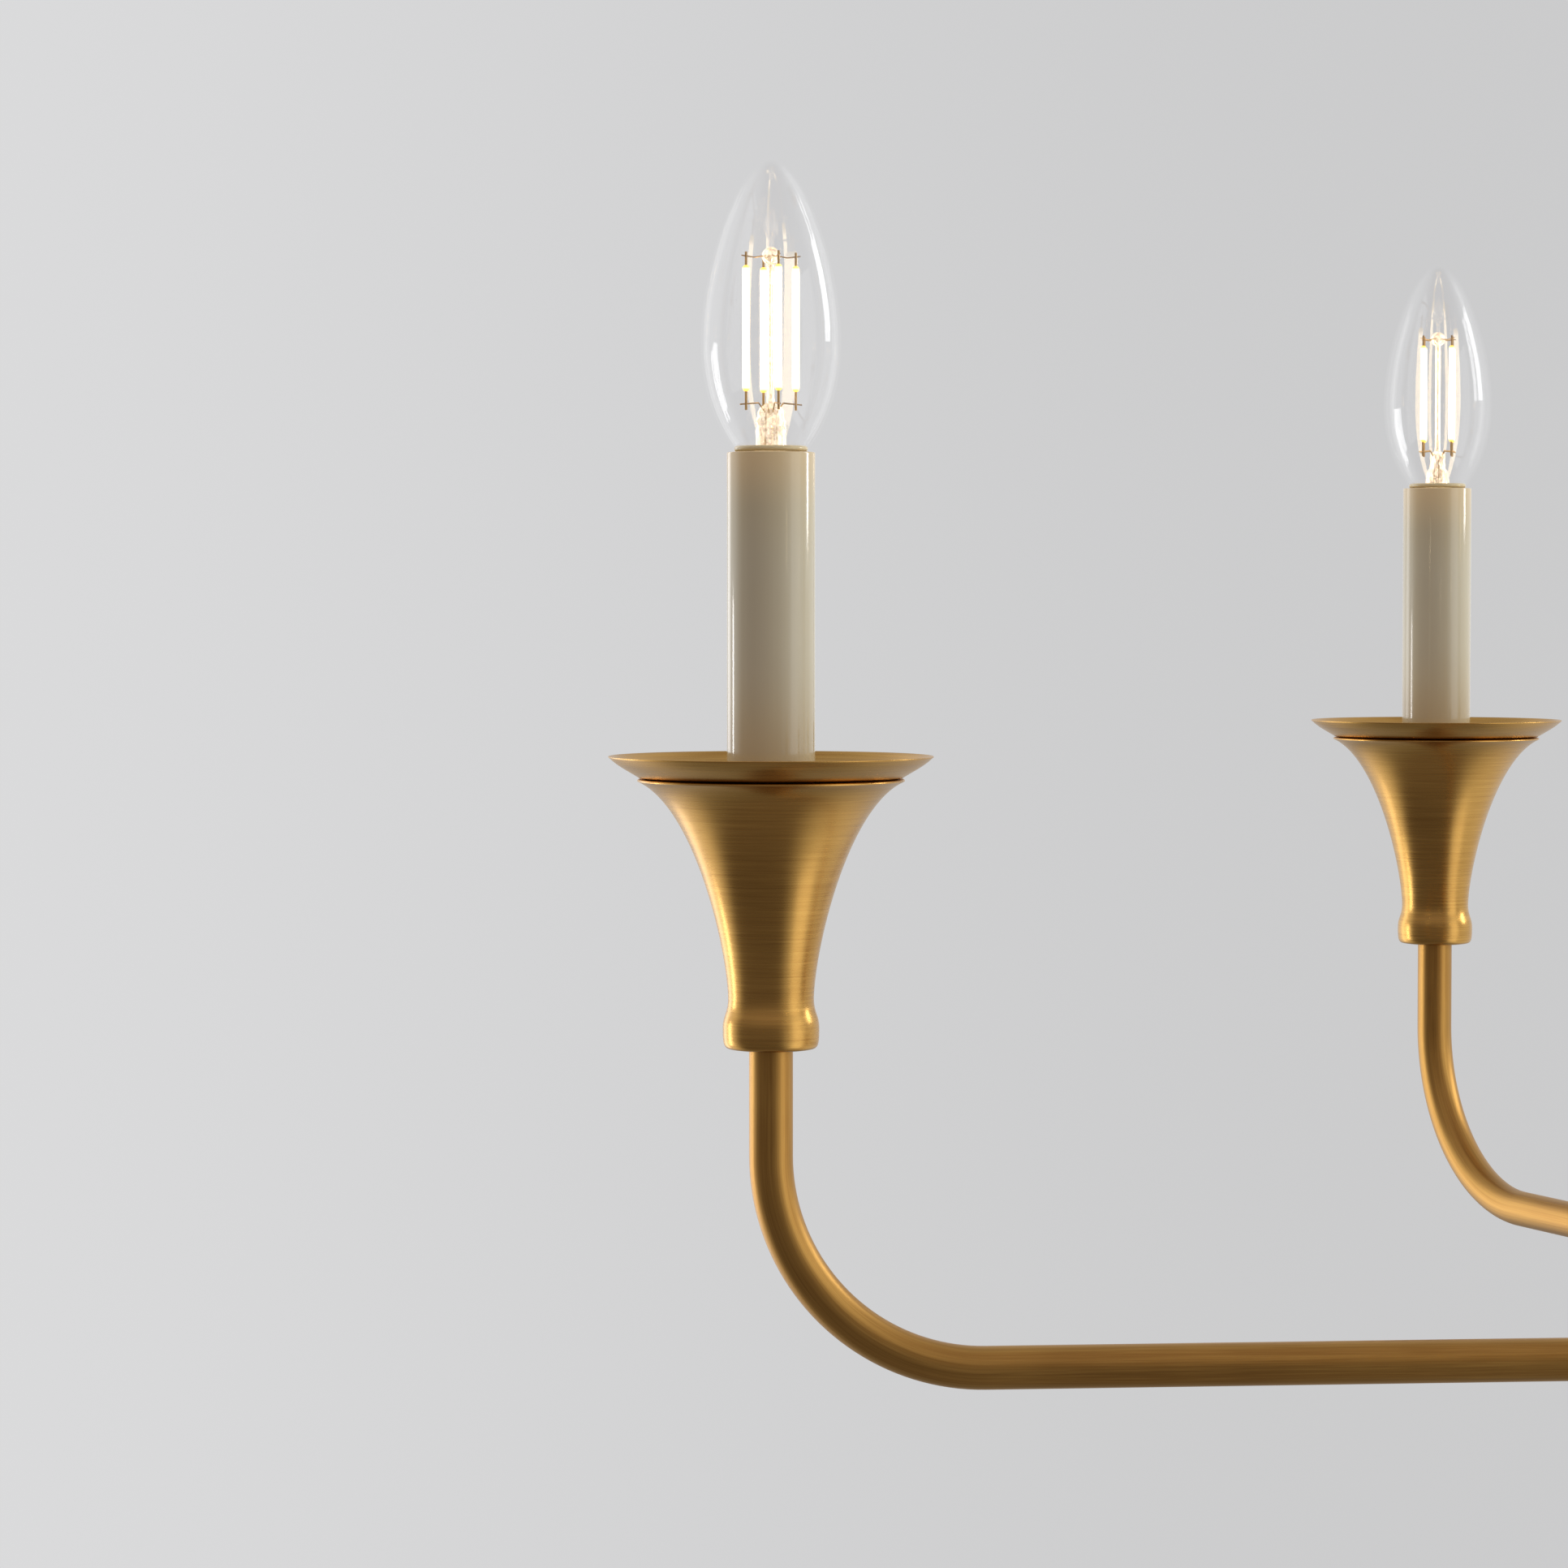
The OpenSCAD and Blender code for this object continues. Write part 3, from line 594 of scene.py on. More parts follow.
def bulb_stem():
    """Flared glass tube, pinched round the wires, with a glass rod and bead above."""
    rod = 0.85
    foot = [(0, BULB_FOOT), (4.6, BULB_FOOT), (4.5, -3.5), (4.0, -0.5), (3.8, 3.0), (3.8, 5.6)]
    neck = [(3.3, 6.6), (3.6, 7.6), (3.1, 8.8), (3.3, 10.0), (2.6, 11.2), (1.0, 12.2)]
    tube = turned(foot + neck + [(rod, 14.0), (rod, WIRE_HIGH - 2.2)]
                  + bead((0, WIRE_HIGH), 2.3, -66, 90, 12), closed=False, steps=32)
    pinch_low, pinch_length = 4.5, 7.8
    for vert in tube.verts:
        height = vert.co.z / MM
        if pinch_low < height < pinch_low + pinch_length:
            press = math.sin(math.pi * (height - pinch_low) / pinch_length)
            ripple = math.sin(5 * math.atan2(vert.co.y, vert.co.x) + height * 1.7)
            vert.co.y *= 1 - 0.45 * press
            vert.co.x *= 1 + 0.06 * press + 0.07 * press * ripple
    return tube


def straight_wire(start, end, radius, sides=8):
    """A short round wire between two points, in millimetres."""
    start, end = Vector(start) * MM, Vector(end) * MM
    along = end - start
    bm = bmesh.new()
    turn = along.to_track_quat("Z", "Y").to_matrix().to_4x4()
    bmesh.ops.create_cone(bm, cap_ends=True, cap_tris=False, segments=sides, radius1=radius * MM,
                          radius2=radius * MM, depth=along.length,
                          matrix=Matrix.Translation((start + end) / 2) @ turn)
    return bm


def strip_wires():
    """Cross wires, end tabs and the two lead wires that carry the strips."""
    parts = []
    for number in STRIPS:
        turn = strip_turn(number)
        dip = (4.2, 0, WIRE_HIGH - 0.35)
        high = [straight_wire((1.2, 0, WIRE_HIGH + 0.2), dip, 0.16),
                straight_wire(dip, (STRIP_RING + 1.2, 0, WIRE_HIGH + 0.1), 0.16),
                straight_wire((STRIP_RING, 0, WIRE_HIGH - 2.5), (STRIP_RING, 0, WIRE_HIGH + 1.0), 0.32)]
        rise = (3.2, 0, WIRE_LOW + 0.3)
        low = [straight_wire((1.6, 0, WIRE_LOW - 2.0), rise, 0.18),
               straight_wire(rise, (STRIP_RING + 1.6, 0, WIRE_LOW - 0.1), 0.18),
               straight_wire((STRIP_RING, 0, WIRE_LOW - 1.5), (STRIP_RING, 0, STRIP_FOOT + 0.4), 0.34)]
        parts += [moved(part, turn) for part in high + low]
    for side in (-1, 1):
        parts.append(straight_wire((side * 1.7, 0.6, -5.5), (side * 1.3, 0.3, 9.5), 0.2))
    return merged(*parts)


def screw_base():
    """Rolled screw shell with its insulator and centre contact."""
    root, crest = 5.35, 5.8
    thread = []
    height = -17.6
    while height < -7.2:
        thread += [(root, height), (crest, height + THREAD_PITCH * 0.3),
                   (crest + 0.05, height + THREAD_PITCH * 0.5), (crest, height + THREAD_PITCH * 0.7)]
        height += THREAD_PITCH
    contact = [(0, -22.0), (2.3, -22.0), (2.6, -21.6), (3.4, -20.7), (5.0, -19.4), (5.3, -18.2)]
    collar = [(root, -6.6), (crest, -6.2), (crest, -4.3), (5.6, -4.0)]
    top = [(5.2, -4.0), (5.2, -5.8), (0, -5.8)]
    return turned(contact + thread + collar + top, closed=False, steps=48)


# ---------------------------------------------------------------- settings

class FinishSettings(bpy.types.PropertyGroup):
    """Colours and finishes of the fixture."""
    brass_light: bpy.props.FloatVectorProperty(
        name="Bright brass", description="Brass where the brush has opened the colour",
        default=(0.665, 0.393, 0.108), size=3, min=0, max=1, subtype="COLOR")
    brass_dark: bpy.props.FloatVectorProperty(
        name="Aged brass", description="Brass in the brown of the ageing",
        default=(0.40, 0.211, 0.054), size=3, min=0, max=1, subtype="COLOR")
    brass_roughness: bpy.props.FloatProperty(
        name="Brass roughness", description="How satin the brass is", default=0.28, min=0.05, max=0.9,
        subtype="FACTOR")
    brush_depth: bpy.props.FloatProperty(
        name="Brush depth", description="Strength of the brush lines", default=0.16, min=0, max=1,
        subtype="FACTOR")
    sleeve_colour: bpy.props.FloatVectorProperty(
        name="Candle sleeve", description="Colour of the candle sleeves",
        default=(0.70, 0.652, 0.485), size=3, min=0, max=1, subtype="COLOR")
    glow_colour: bpy.props.FloatVectorProperty(
        name="Bulb light", description="Colour of the lit strips",
        default=(1.0, 0.80, 0.52), size=3, min=0, max=1, subtype="COLOR")
    glow_strength: bpy.props.FloatProperty(
        name="Bulb brightness", description="Brightness of the lit strips", default=6.0, min=0, max=200)


class StageSettings(bpy.types.PropertyGroup):
    """Camera, lights and floor."""
    camera_lens: bpy.props.FloatProperty(
        name="Lens", description="Focal length of the camera", default=106.2, min=20, max=300,
        unit="CAMERA")
    camera_distance: bpy.props.FloatProperty(
        name="Distance", description="From the camera to the first candle", default=1.16, min=0.3, max=10,
        unit="LENGTH")
    camera_yaw: bpy.props.FloatProperty(
        name="Turn", description="How far the first arm runs away from the camera",
        default=math.radians(5), min=-1, max=1, subtype="ANGLE")
    camera_pitch: bpy.props.FloatProperty(
        name="Tilt", description="How far the camera looks down", default=math.radians(2.23), min=-1, max=1,
        subtype="ANGLE")
    key_power: bpy.props.FloatProperty(
        name="Side light", description="Power of the large soft light", default=3.4, min=0, max=500,
        unit="POWER")
    edge_power: bpy.props.FloatProperty(
        name="Edge light", description="Power of the left light behind", default=3.2, min=0, max=500,
        unit="POWER")
    strip_power: bpy.props.FloatProperty(
        name="Strip light", description="Power of the thin left light", default=2.6, min=0, max=500,
        unit="POWER")
    rim_power: bpy.props.FloatProperty(
        name="Rim light", description="Power of the thin right light behind", default=3.4, min=0, max=500,
        unit="POWER")
    backdrop_left: bpy.props.FloatVectorProperty(
        name="Backdrop left", description="Backdrop colour at the left", default=(0.715, 0.715, 0.722),
        size=3, min=0, max=1, subtype="COLOR")
    backdrop_right: bpy.props.FloatVectorProperty(
        name="Backdrop right", description="Backdrop colour at the right", default=(0.60, 0.60, 0.605),
        size=3, min=0, max=1, subtype="COLOR")


# ---------------------------------------------------------------- operators

class CHANDELIER_OT_candles(bpy.types.Operator):
    """Turn the cups and dishes and set the ivory sleeves in them"""
    bl_idname = "chandelier.candles"
    bl_label = "Candle cups, dishes and sleeves"

    def execute(self, context):
        brass = aged_brass("turned_brass", lengthwise=False)
        ivory = ivory_sleeve("ivory_sleeve")
        placed_copies(candle_cup, ARMS, "turned_cup", "fixture", "aged_brass", brass, "candle_cup",
                      CUP_FOOT_Z, crease=40)
        placed_copies(drip_dish, ARMS, "spun_dish", "fixture", "aged_brass", brass, "drip_dish",
                      DISH_FOOT_Z, crease=40)
        placed_copies(candle_sleeve, ARMS, "ivory_sleeve", "fixture", "sleeve_ivory", ivory,
                      "candle_sleeve", SLEEVE_FOOT_Z)
        return {"FINISHED"}


class CHANDELIER_OT_bulbs(bpy.types.Operator):
    """Blow the bulbs and fill them with their stems, wires and lit strips"""
    bl_idname = "chandelier.bulbs"
    bl_label = "Bulbs"

    def execute(self, context):
        shell = clear_glass("bulb_shell_glass", (1.0, 1.0, 1.0), 0.034, 0.22)
        # The stem glass carries painted light: emission speckles for the strips' light caught in its pinch.
        stem = clear_glass("bulb_stem_glass", (1.0, 0.93, 0.8), 0.5, 0.5, lit=1.0)
        foot = moulded("neck_ring_glass", (0.86, 0.74, 0.45), 0.12)
        wires = plated_steel("strip_wire_metal", (0.55, 0.36, 0.16), 0.35)
        base = plated_steel("base_shell_metal", (0.78, 0.74, 0.62), 0.28)
        light = glowing("lit_phosphor")
        bulbs = ((bulb_shell, "blown_shell", "bulb_glass", shell, "bulb_glass"),
                 (screw_base, "screw_base", "bulb_base_metal", base, "bulb_base"),
                 (lit_strips, "lit_strips", "lit_strips", light, "bulb_filament"),
                 (bulb_stem, "glass_stem", "bulb_glass", stem, None),
                 (neck_ring, "neck_ring", "bulb_glass", foot, None),
                 (strip_wires, "strip_wires", "bulb_base_metal", wires, None))
        for make, name, slot, finish, node in bulbs:
            placed_copies(make, ARMS, name, "bulb_{}", slot, finish, node, SLEEVE_TOP_Z)
        return {"FINISHED"}


class CHANDELIER_OT_arms(bpy.types.Operator):
    """Bend the arm tubes"""
    bl_idname = "chandelier.arms"
    bl_label = "Arms"

    def execute(self, context):
        brass = aged_brass("drawn_brass", lengthwise=True)
        low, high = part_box("arm_1")
        radius = -low.y
        level = low.z + radius
        seat = -high.x
        bend = ARM_BEND_R * MM
        run = ARM_REACH - bend - seat
        rise = high.z - level - bend
        for number in ARMS:
            bm = bar_along([("run", (run, 0, 0)),
                            ("bend", (run, 0, bend), (0, -1, 0), math.pi / 2, 40),
                            ("run", (0, 0, rise))], radius, sides=40, bore=radius - SHEET_WALL * MM)

            def along_tube(point, run=run, bend=bend):
                """Round the tube in x and y, and along it in z."""
                if point.x <= run:
                    return Vector((point.y, point.z, point.x))
                if point.z >= bend:
                    past = run + bend * math.pi / 2 + point.z - bend
                    return Vector((point.y, -(point.x - run - bend), past))
                away = Vector((point.x - run, bend - point.z))
                return Vector((point.y, bend - away.length, run + bend * math.atan2(away.x, away.y)))

            keep_grain(bm, along_tube)
            moved(bm, Matrix.Rotation(arm_turn(number), 4, "Z") @ Matrix.Translation((seat, 0, level)))
            add_piece(f"bent_arm_{number}", bm, "fixture", "aged_brass", brass, (f"arm_{number}",))
        return {"FINISHED"}


class CHANDELIER_OT_column(bpy.types.Operator):
    """Turn the column, the hub with its arm seats, the cover and the finial"""
    bl_idname = "chandelier.column"
    bl_label = "Column and hub"

    def execute(self, context):
        brass = aged_brass("turned_brass", lengthwise=False)
        drawn = aged_brass("drawn_brass", lengthwise=True)
        low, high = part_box("column_tube")
        length = (high.z - low.z) / MM
        tube = turned([(COLUMN_BORE_R, 0), (COLUMN_R, 0), (COLUMN_R, length), (COLUMN_BORE_R, length)],
                      steps=64)
        add_turned("drawn_column", tube, on_column(low.z), "fixture", drawn, ("column_tube",), crease=32)
        self.vase(brass)
        self.hub(brass)
        self.cover(brass)
        self.finial(brass)
        return {"FINISHED"}

    def vase(self, brass):
        low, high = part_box("column_vase")
        height = (high.z - low.z) / MM
        neck = height - 12.5
        throat = (VASE_NECK_R, neck)
        shoulder = (VASE_TOP_R, height - 5)
        rim_r = 9.6
        flare = curve((29.4, 0.4), (15.2, 7.4), (VASE_NECK_R, neck * 0.68), throat, 40)
        rise = curve(throat, (VASE_NECK_R, neck + 3), (VASE_TOP_R, neck + 4), shoulder, 12)
        fall = curve(shoulder, (VASE_TOP_R, height - 2.5), (VASE_TOP_R, height - 1), (rim_r, height), 12)
        vase = turned([(26.4, 0.0), (29.0, 0.0)] + flare + rise + fall
                      + [(rim_r, height), (PIPE_HOLE_R, height), (PIPE_HOLE_R, neck + 2), (9.3, neck + 2)]
                      + walled(flare, SHEET_WALL)[1:])
        add_turned("turned_vase", vase, on_column(low.z), "fixture", brass, ("column_vase",))

    def cover(self, brass):
        foot = -14.0
        bowl = curve((8.0, foot), (18.6, foot), (29.0, -7.7), (29.0, -2.4), 24)
        cover = turned([(PIPE_HOLE_R, foot)] + bowl
                       + [(29.0, -2.0), (29.7, -1.9), (HUB_R, -1.6), (HUB_R, 0.0), (HUB_BORE_R, 0.0)]
                       + walled(bowl, SHEET_WALL)[1:-1]
                       + [(8.0, foot + SHEET_WALL), (PIPE_HOLE_R, foot + SHEET_WALL)])
        add_turned("spun_cover", cover, on_column(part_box("hub_cover")[1].z), "fixture", brass,
                   ("hub_cover",))

    def finial(self, brass):
        neck = (7.5, -2.0)
        knob = turned(
            [(0, 0), (6.9, 0.0), (7.5, -0.5), neck]
            + curve(neck, (7.5, -6.0), (5.6, -7.0), (5.6, -10.6), 10)
            + bead((0, -18.0), 9.0, 52, -68, 22) + [(2.9, -27.0), (2.2, -28.6), (1.5, -29.6), (0, -30.0)],
            closed=False, steps=64)
        add_turned("turned_finial", knob, on_column(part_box("finial")[1].z), "fixture", brass, ("finial",))

    def hub(self, brass):
        low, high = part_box("hub_body")
        half = (high.z - low.z) / 2 / MM
        edge = 0.8
        burr = 0.3
        drum = turned([(HUB_BORE_R, -half), (HUB_R - burr, -half), (HUB_R, -half + burr)]
                      + [(HUB_R, half - edge)]
                      + bead((HUB_R - edge, half - edge), edge, 0, 90, 6)
                      + [(PIPE_HOLE_R, half), (PIPE_HOLE_R, half - HUB_LID), (HUB_BORE_R, half - HUB_LID)],
                      steps=120)
        add_turned("hub_drum", drum, on_column(HUB_Z), "fixture", brass, ("hub_body",))
        hole, inner_end, lip = 4.1, 27.6, 33.3
        for number in ARMS:
            seat = turned([(hole, inner_end), (8.5, inner_end), (8.5, lip)]
                          + bead((7.8, lip), 0.7, 0, 90, 5) + [(hole, 34.0)], steps=48)
            sideways = Matrix.Rotation(arm_turn(number), 4, "Z") @ Matrix.Rotation(math.pi / 2, 4, "Y")
            add_turned(f"arm_seat_{number}", seat, on_column(HUB_Z) @ sideways, "fixture", brass)


def bow_bar(arc, bar, leg, place):
    """Half ring with two straight legs, opening downwards, in the plane y = 0."""
    bm = bar_along([("run", (leg, 0, 0)), ("bend", (leg, 0, arc), (0, -1, 0), math.pi, 32),
                    ("run", (-leg, 0, 0))], bar, sides=20)

    def along_bar(point):
        if point.x <= leg:
            side = 1 if point.z > arc else -1
            return Vector((point.y, side * (point.z - arc) - arc, point.x * side))
        away = Vector((point.x - leg, point.z - arc))
        return Vector((point.y, away.length - arc, arc * math.atan2(away.x, -away.y)))

    keep_grain(bm, along_bar)
    return moved(bm, place @ Matrix.Rotation(-math.pi / 2, 4, "Y") @ Matrix.Translation((-leg, 0, -arc)))


class CHANDELIER_OT_chain(bpy.types.Operator):
    """Bend the chain links and the two end loops"""
    bl_idname = "chandelier.chain"
    bl_label = "Chain and loops"

    def execute(self, context):
        drawn = aged_brass("drawn_brass", lengthwise=True)
        brass = aged_brass("turned_brass", lengthwise=False)
        for number in LINKS:
            self.link(number, drawn)
        arc, bar, leg = LOOP_ARC * MM, LOOP_BAR * MM, LOOP_LEG * MM
        bore, thread = 4.9, 3.6

        low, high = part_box("canopy_loop")
        upside_down = on_column(low.z + bar + arc) @ Matrix.Rotation(math.pi, 4, "X")
        add_piece("canopy_loop_bow", bow_bar(arc, bar, leg, upside_down), "ceiling_mount", "aged_brass",
                  drawn, ("canopy_loop",))
        shank = turned([(thread, 0), (11.0, 0)] + bead((11.2, 1.0), 1.0, -90, 0, 5)
                       + [(12.2, LOOP_SHANK), (bore, LOOP_SHANK), (bore, 8.0), (thread, 8.0)], steps=64)
        add_turned("canopy_loop_shank", shank, on_column(high.z - LOOP_SHANK * MM), "ceiling_mount", brass,
                   crease=32)

        low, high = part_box("fixture_loop")
        add_piece("fixture_loop_bow", bow_bar(arc, bar, leg, on_column(high.z - bar - arc)), "fixture",
                  "aged_brass", drawn, ("fixture_loop",))
        flange = turned([(bore, 0), (9.0, 0), (9.0, 6.4)]
                        + curve((9.0, 6.4), (9.0, 7.6), (12.6, 7.2), (12.6, 9.0), 8)
                        + bead((11.6, 11.0), 1.0, 0, 90, 5)
                        + [(thread, 12.0), (thread, 6.0), (bore, 6.0)], steps=64)
        add_turned("fixture_loop_base", flange, on_column(low.z), "fixture", brass, crease=32)
        return {"FINISHED"}

    def link(self, number, finish):
        """Wire bent to a long ring with a fine slit, each link a quarter turn from the last."""
        low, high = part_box(f"chain_link_{number}")
        wire = min(high.x - low.x, high.y - low.y) / 2
        arc = max(high.x - low.x, high.y - low.y) / 2 - wire
        straight = (high.z - low.z) - 2 * (arc + wire)
        turn = math.pi / 2 if number % 2 else 0
        middle = (high.z + low.z) / 2
        slit = LINK_SLIT * MM
        half = straight / 2 - slit
        bm = bar_along([("run", (half, 0, 0)),
                        ("bend", (half, 0, arc), (0, -1, 0), math.pi, 28),
                        ("run", (-straight, 0, 0)),
                        ("bend", (-straight / 2 - slit, 0, arc), (0, -1, 0), math.pi, 28),
                        ("run", (half, 0, 0))], wire, sides=20)

        def along_link(point):
            x = point.x + slit
            side = 1 if point.z > arc else -1
            if abs(x) <= straight / 2:
                return Vector((point.y, side * (point.z - arc) - arc, x * side))
            away = Vector((abs(x) - straight / 2, point.z - arc))
            return Vector((point.y, away.length - arc, arc * math.atan2(away.x, -away.y)))

        keep_grain(bm, along_link)
        upright = Matrix.Rotation(turn, 4, "Z") @ Matrix.Rotation(-math.pi / 2, 4, "Y")
        moved(bm, on_column(middle) @ upright @ Matrix.Translation((slit, 0, -arc)))
        add_piece(f"bent_link_{number}", bm, f"chain_link_{number}", "aged_brass", finish,
                  (f"chain_link_{number}",))


class CHANDELIER_OT_canopy(bpy.types.Operator):
    """Spin the ceiling canopy and cut its ring nut"""
    bl_idname = "chandelier.canopy"
    bl_label = "Canopy and ring nut"

    def execute(self, context):
        brass = aged_brass("turned_brass", lengthwise=False)
        edge = (CANOPY_R, -3.0)
        wall = 1.0
        dome = curve((22.0, -CANOPY_DEPTH), (38.0, -17.0), (CANOPY_R, -17.0), edge, 48)
        shell = turned([(CANOPY_HOLE_R, -CANOPY_DEPTH), (20.5, -CANOPY_DEPTH)] + dome
                       + [(CANOPY_R, -0.3), (64.8, 0.0), (64.2, 0.0), (64.0, -0.3)]
                       + walled(dome + [edge], wall)[:-1]
                       + [(20.0, wall - CANOPY_DEPTH), (CANOPY_HOLE_R, wall - CANOPY_DEPTH)], steps=128)
        add_turned("spun_canopy", shell, Matrix(), "canopy", brass, ("canopy",))

        top, groove_r, groove_low, groove_high = 8.0, 16.7, 2.4, 5.6
        nut = turned([(RING_BORE_R, 0.0), (16.0, 0.0), (RING_R, 0.8), (RING_R, 2.2)]
                     + [(groove_r, groove_low), (groove_r, groove_high), (RING_R, 5.8), (RING_R, 7.4)]
                     + [(16.4, top), (RING_BORE_R, top)], steps=3 * RING_TEETH)
        for vert in nut.verts:
            height = vert.co.z / MM
            reach = math.hypot(vert.co.x, vert.co.y) / MM
            if groove_low - 0.1 < height < groove_high + 0.1 and reach > 16:
                cut = 1 + 0.022 * math.sin(RING_TEETH * math.atan2(vert.co.y, vert.co.x))
                vert.co.x *= cut
                vert.co.y *= cut
        add_turned("knurled_ring", nut, on_column(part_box("canopy_ring")[0].z), "canopy", brass,
                   ("canopy_ring",))
        return {"FINISHED"}


class CHANDELIER_OT_hardware(bpy.types.Operator):
    """Finish the bracket, pipes, nuts, lamp holders and wiring"""
    bl_idname = "chandelier.hardware"
    bl_label = "Bracket, pipes and wiring"

    def execute(self, context):
        zinc = plated_steel("zinc_plate", (0.62, 0.63, 0.64), 0.38)
        green = moulded("green_paint", (0.05, 0.28, 0.10), 0.3)
        finishes = {
            zinc: ("ceiling_bracket", "bracket_nipple", "bracket_nuts", "hub_nipples", "lock_nuts",
                   "centre_pipe", "candle_pipes"),
            green: ("ground_screw",),
            moulded("connector_cap", (0.80, 0.30, 0.04), 0.35): ("wire_connectors",),
            moulded("flex_sheath", (0.70, 0.66, 0.55), 0.5): ("arm_flexes",),
            moulded("holder_black", (0.03, 0.03, 0.032), 0.4): ("lamp_holders",),
        }
        for finish, nodes in finishes.items():
            for node in nodes:
                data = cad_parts[node].data
                data.materials.clear()
                data.materials.append(finish)
        return {"FINISHED"}


class CHANDELIER_OT_stage(bpy.types.Operator):
    """Set the floor, the soft lights, the pale surround and the camera"""
    bl_idname = "chandelier.stage"
    bl_label = "Stage"

    def execute(self, context):
        scene = context.scene
        stage = scene.chandelier_stage
        scene.view_settings.view_transform = "Standard"
        candle = axis_of("candle_sleeve_1")
        ahead = Vector((math.sin(stage.camera_yaw), math.cos(stage.camera_yaw), 0))
        across = Vector((ahead.y, -ahead.x, 0))

        lens = bpy.data.cameras.new("main_view")
        lens.lens = stage.camera_lens
        lens.sensor_width = 36
        lens.clip_start, lens.clip_end = 0.05, 60
        camera = bpy.data.objects.new("main_view", lens)
        scene.collection.objects.link(camera)
        spot = Vector((candle.x, candle.y, 0)) - ahead * stage.camera_distance + across * CAMERA_SIDE
        spot.z = HUB_Z + CAMERA_RISE
        camera.location = spot
        camera.rotation_euler = (math.pi / 2 - stage.camera_pitch, 0, -stage.camera_yaw)
        scene.camera = camera

        middle = Vector((candle.x, candle.y, SLEEVE_FOOT_Z))
        bulb = middle + Vector((0, 0, SLEEVE_TOP_Z - SLEEVE_FOOT_Z + 0.03))
        lights = (("side_light", middle, 68, -6, (0.8, 2.0), stage.key_power),
                  ("edge_light", middle, -140, 0, (0.45, 1.7), stage.edge_power),
                  ("strip_light", bulb, -116, -13, (0.15, 0.7), stage.strip_power),
                  ("rim_light", bulb, 111, 14, (0.2, 0.6), stage.rim_power))
        for name, target, bearing, climb, size, power in lights:
            self.soft_light(name, target, ahead, across, bearing, climb, size, power)
        self.surround(stage)
        self.floor()
        return {"FINISHED"}

    def soft_light(self, name, target, ahead, across, bearing, climb, size, power):
        """bearing is measured from the camera, as seen from the candle, to the right."""
        turn, lift = math.radians(bearing), math.radians(climb)
        away = (-ahead * math.cos(turn) + across * math.sin(turn)) * math.cos(lift)
        away.z = math.sin(lift)
        lamp = bpy.data.lights.new(name, "AREA")
        lamp.shape = "RECTANGLE"
        lamp.size, lamp.size_y = size
        lamp.energy = power
        light = bpy.data.objects.new(name, lamp)
        bpy.context.scene.collection.objects.link(light)
        light.location = target + away * LIGHT_DISTANCE
        light.rotation_euler = away.to_track_quat("Z", "Y").to_euler()

    def surround(self, stage):
        """Pale all round to the eye. As a light it is bright behind the fixture and dim in front."""
        world = bpy.context.scene.world or bpy.data.worlds.new("surround")
        bpy.context.scene.world = world
        sky = Finish(world)
        tree = sky.tree
        shell = next(n for n in tree.nodes if n.type == "BACKGROUND")
        x, y, z = sky.split(sky.node("ShaderNodeTexCoord", output="Generated"))
        sweep = sky.step_of(x, -0.16, 0.26)
        seen = sky.blend(sweep, (*stage.backdrop_left, 1), (*stage.backdrop_right, 1))
        height = z * 0.5 + 0.5
        front = self.bands(sky, height, ((0.0, 0.2), (0.2, 0.14), (0.5, 0.18), (0.72, 0.34), (0.86, 0.46),
                                         (1.0, 0.48)), (1.02, 0.9, 0.9))
        back = self.bands(sky, height, ((0.0, 0.2), (0.1, 0.3), (0.35, 0.55), (0.5, 0.8), (0.75, 0.7),
                                        (1.0, 0.48)))
        high = sky.step_of(z, 0.3, 0.9)
        left = sky.step_of(x, -0.1, -0.5) * sky.step_of(z, -0.87, -0.5) * (1 - high)
        back = sky.blend(left, back, (1.15, 1.15, 1.17, 1))
        light = sky.blend(sky.step_of(y, -0.12, 0.42), front, back)
        right = sky.step_of(x, 0.25, 0.8) * (1 - high * 0.5)
        light = sky.blend(right, light, (0.85, 0.85, 0.85, 1))
        to_eye = sky.node("ShaderNodeLightPath", output="Is Camera Ray")
        feed(tree, shell.inputs["Color"], sky.blend(to_eye, light, seen))
        feed(tree, shell.inputs["Strength"], 1.0)

    def bands(self, sky, height, levels, tint=(1.0, 1.0, 1.0)):
        """Brightness against height, from straight down at 0 to straight up at 1."""
        stops = [(place, tuple(level * share for share in tint) + (1,)) for place, level in levels]
        return sky.node("ShaderNodeValToRGB", {"stops": stops}, {"Fac": height})

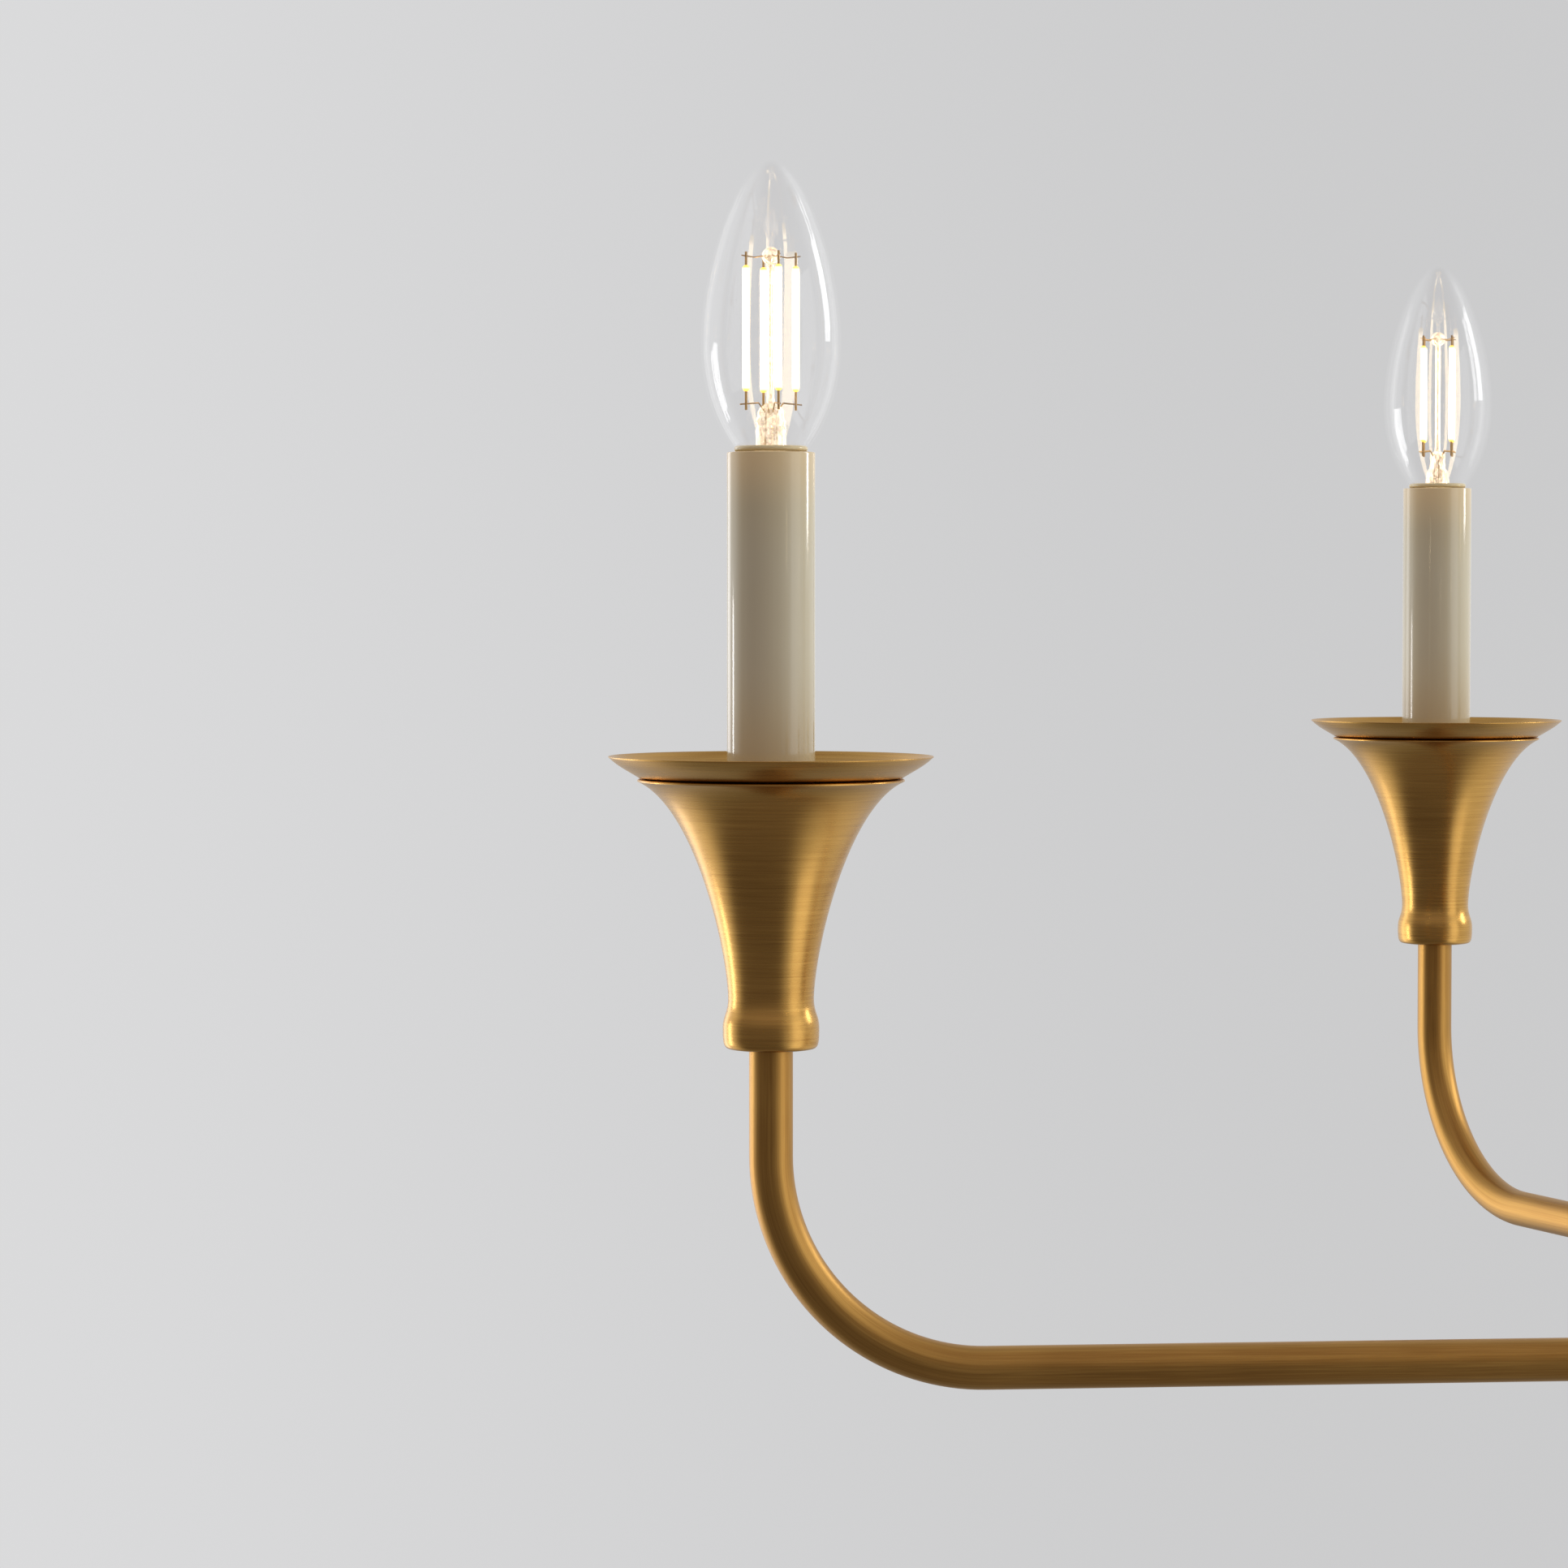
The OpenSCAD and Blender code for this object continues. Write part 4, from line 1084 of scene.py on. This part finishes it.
    def floor(self):
        """Pale disc that fades out before its edge."""
        bm = bmesh.new()
        bmesh.ops.create_circle(bm, cap_ends=True, segments=96, radius=FLOOR_R,
                                matrix=Matrix.Translation((0, 0, FLOOR_Z)))
        mesh = bpy.data.meshes.new("pale_floor")
        bm.to_mesh(mesh)
        bm.free()
        finish = new_finish("pale_floor")
        where = finish.node("ShaderNodeTexCoord", output="Object")
        x, y, _ = finish.split(where)
        edge = finish.step_of((x * x + y * y) ** 0.5, FLOOR_R * 0.3, FLOOR_R * 0.8, 1.0, 0.0)
        dust = finish.node("ShaderNodeTexNoise", inputs={"Vector": where, "Scale": 3.0})
        finish.shade({"Base Color": finish.blend(dust, (0.78, 0.78, 0.78, 1), (0.82, 0.82, 0.82, 1)),
                      "Roughness": 0.8, "Alpha": edge})
        mesh.materials.append(finish.owner)
        ground = bpy.data.objects.new("pale_floor", mesh)
        ground.visible_glossy = False
        ground.visible_diffuse = False
        bpy.context.scene.collection.objects.link(ground)


class CHANDELIER_PT_sidebar(bpy.types.Panel):
    """Lists the pieces and their settings"""
    bl_idname = "CHANDELIER_PT_sidebar"
    bl_label = "Chandelier"
    bl_space_type = "VIEW_3D"
    bl_region_type = "UI"
    bl_category = "Chandelier"

    def draw(self, context):
        layout = self.layout
        for group in (context.scene.chandelier_finishes, context.scene.chandelier_stage):
            for key in group.bl_rna.properties.keys():
                if key not in {"rna_type", "name"}:
                    layout.prop(group, key)
        for operator in PIECES:
            layout.operator(operator.bl_idname)


PIECES = (
    CHANDELIER_OT_candles,
    CHANDELIER_OT_bulbs,
    CHANDELIER_OT_arms,
    CHANDELIER_OT_column,
    CHANDELIER_OT_chain,
    CHANDELIER_OT_canopy,
    CHANDELIER_OT_hardware,
    CHANDELIER_OT_stage,
)
CLASSES = (FinishSettings, StageSettings) + PIECES + (CHANDELIER_PT_sidebar,)


def register():
    for kind in CLASSES:
        bpy.utils.register_class(kind)
    bpy.types.Scene.chandelier_finishes = bpy.props.PointerProperty(type=FinishSettings)
    bpy.types.Scene.chandelier_stage = bpy.props.PointerProperty(type=StageSettings)


def unregister():
    del bpy.types.Scene.chandelier_stage
    del bpy.types.Scene.chandelier_finishes
    for kind in reversed(CLASSES):
        bpy.utils.unregister_class(kind)


def main():
    register()
    bpy.ops.chandelier.candles()
    bpy.ops.chandelier.bulbs()
    bpy.ops.chandelier.arms()
    bpy.ops.chandelier.column()
    bpy.ops.chandelier.chain()
    bpy.ops.chandelier.canopy()
    bpy.ops.chandelier.hardware()
    bpy.ops.chandelier.stage()


if __name__ == "__main__":
    main()
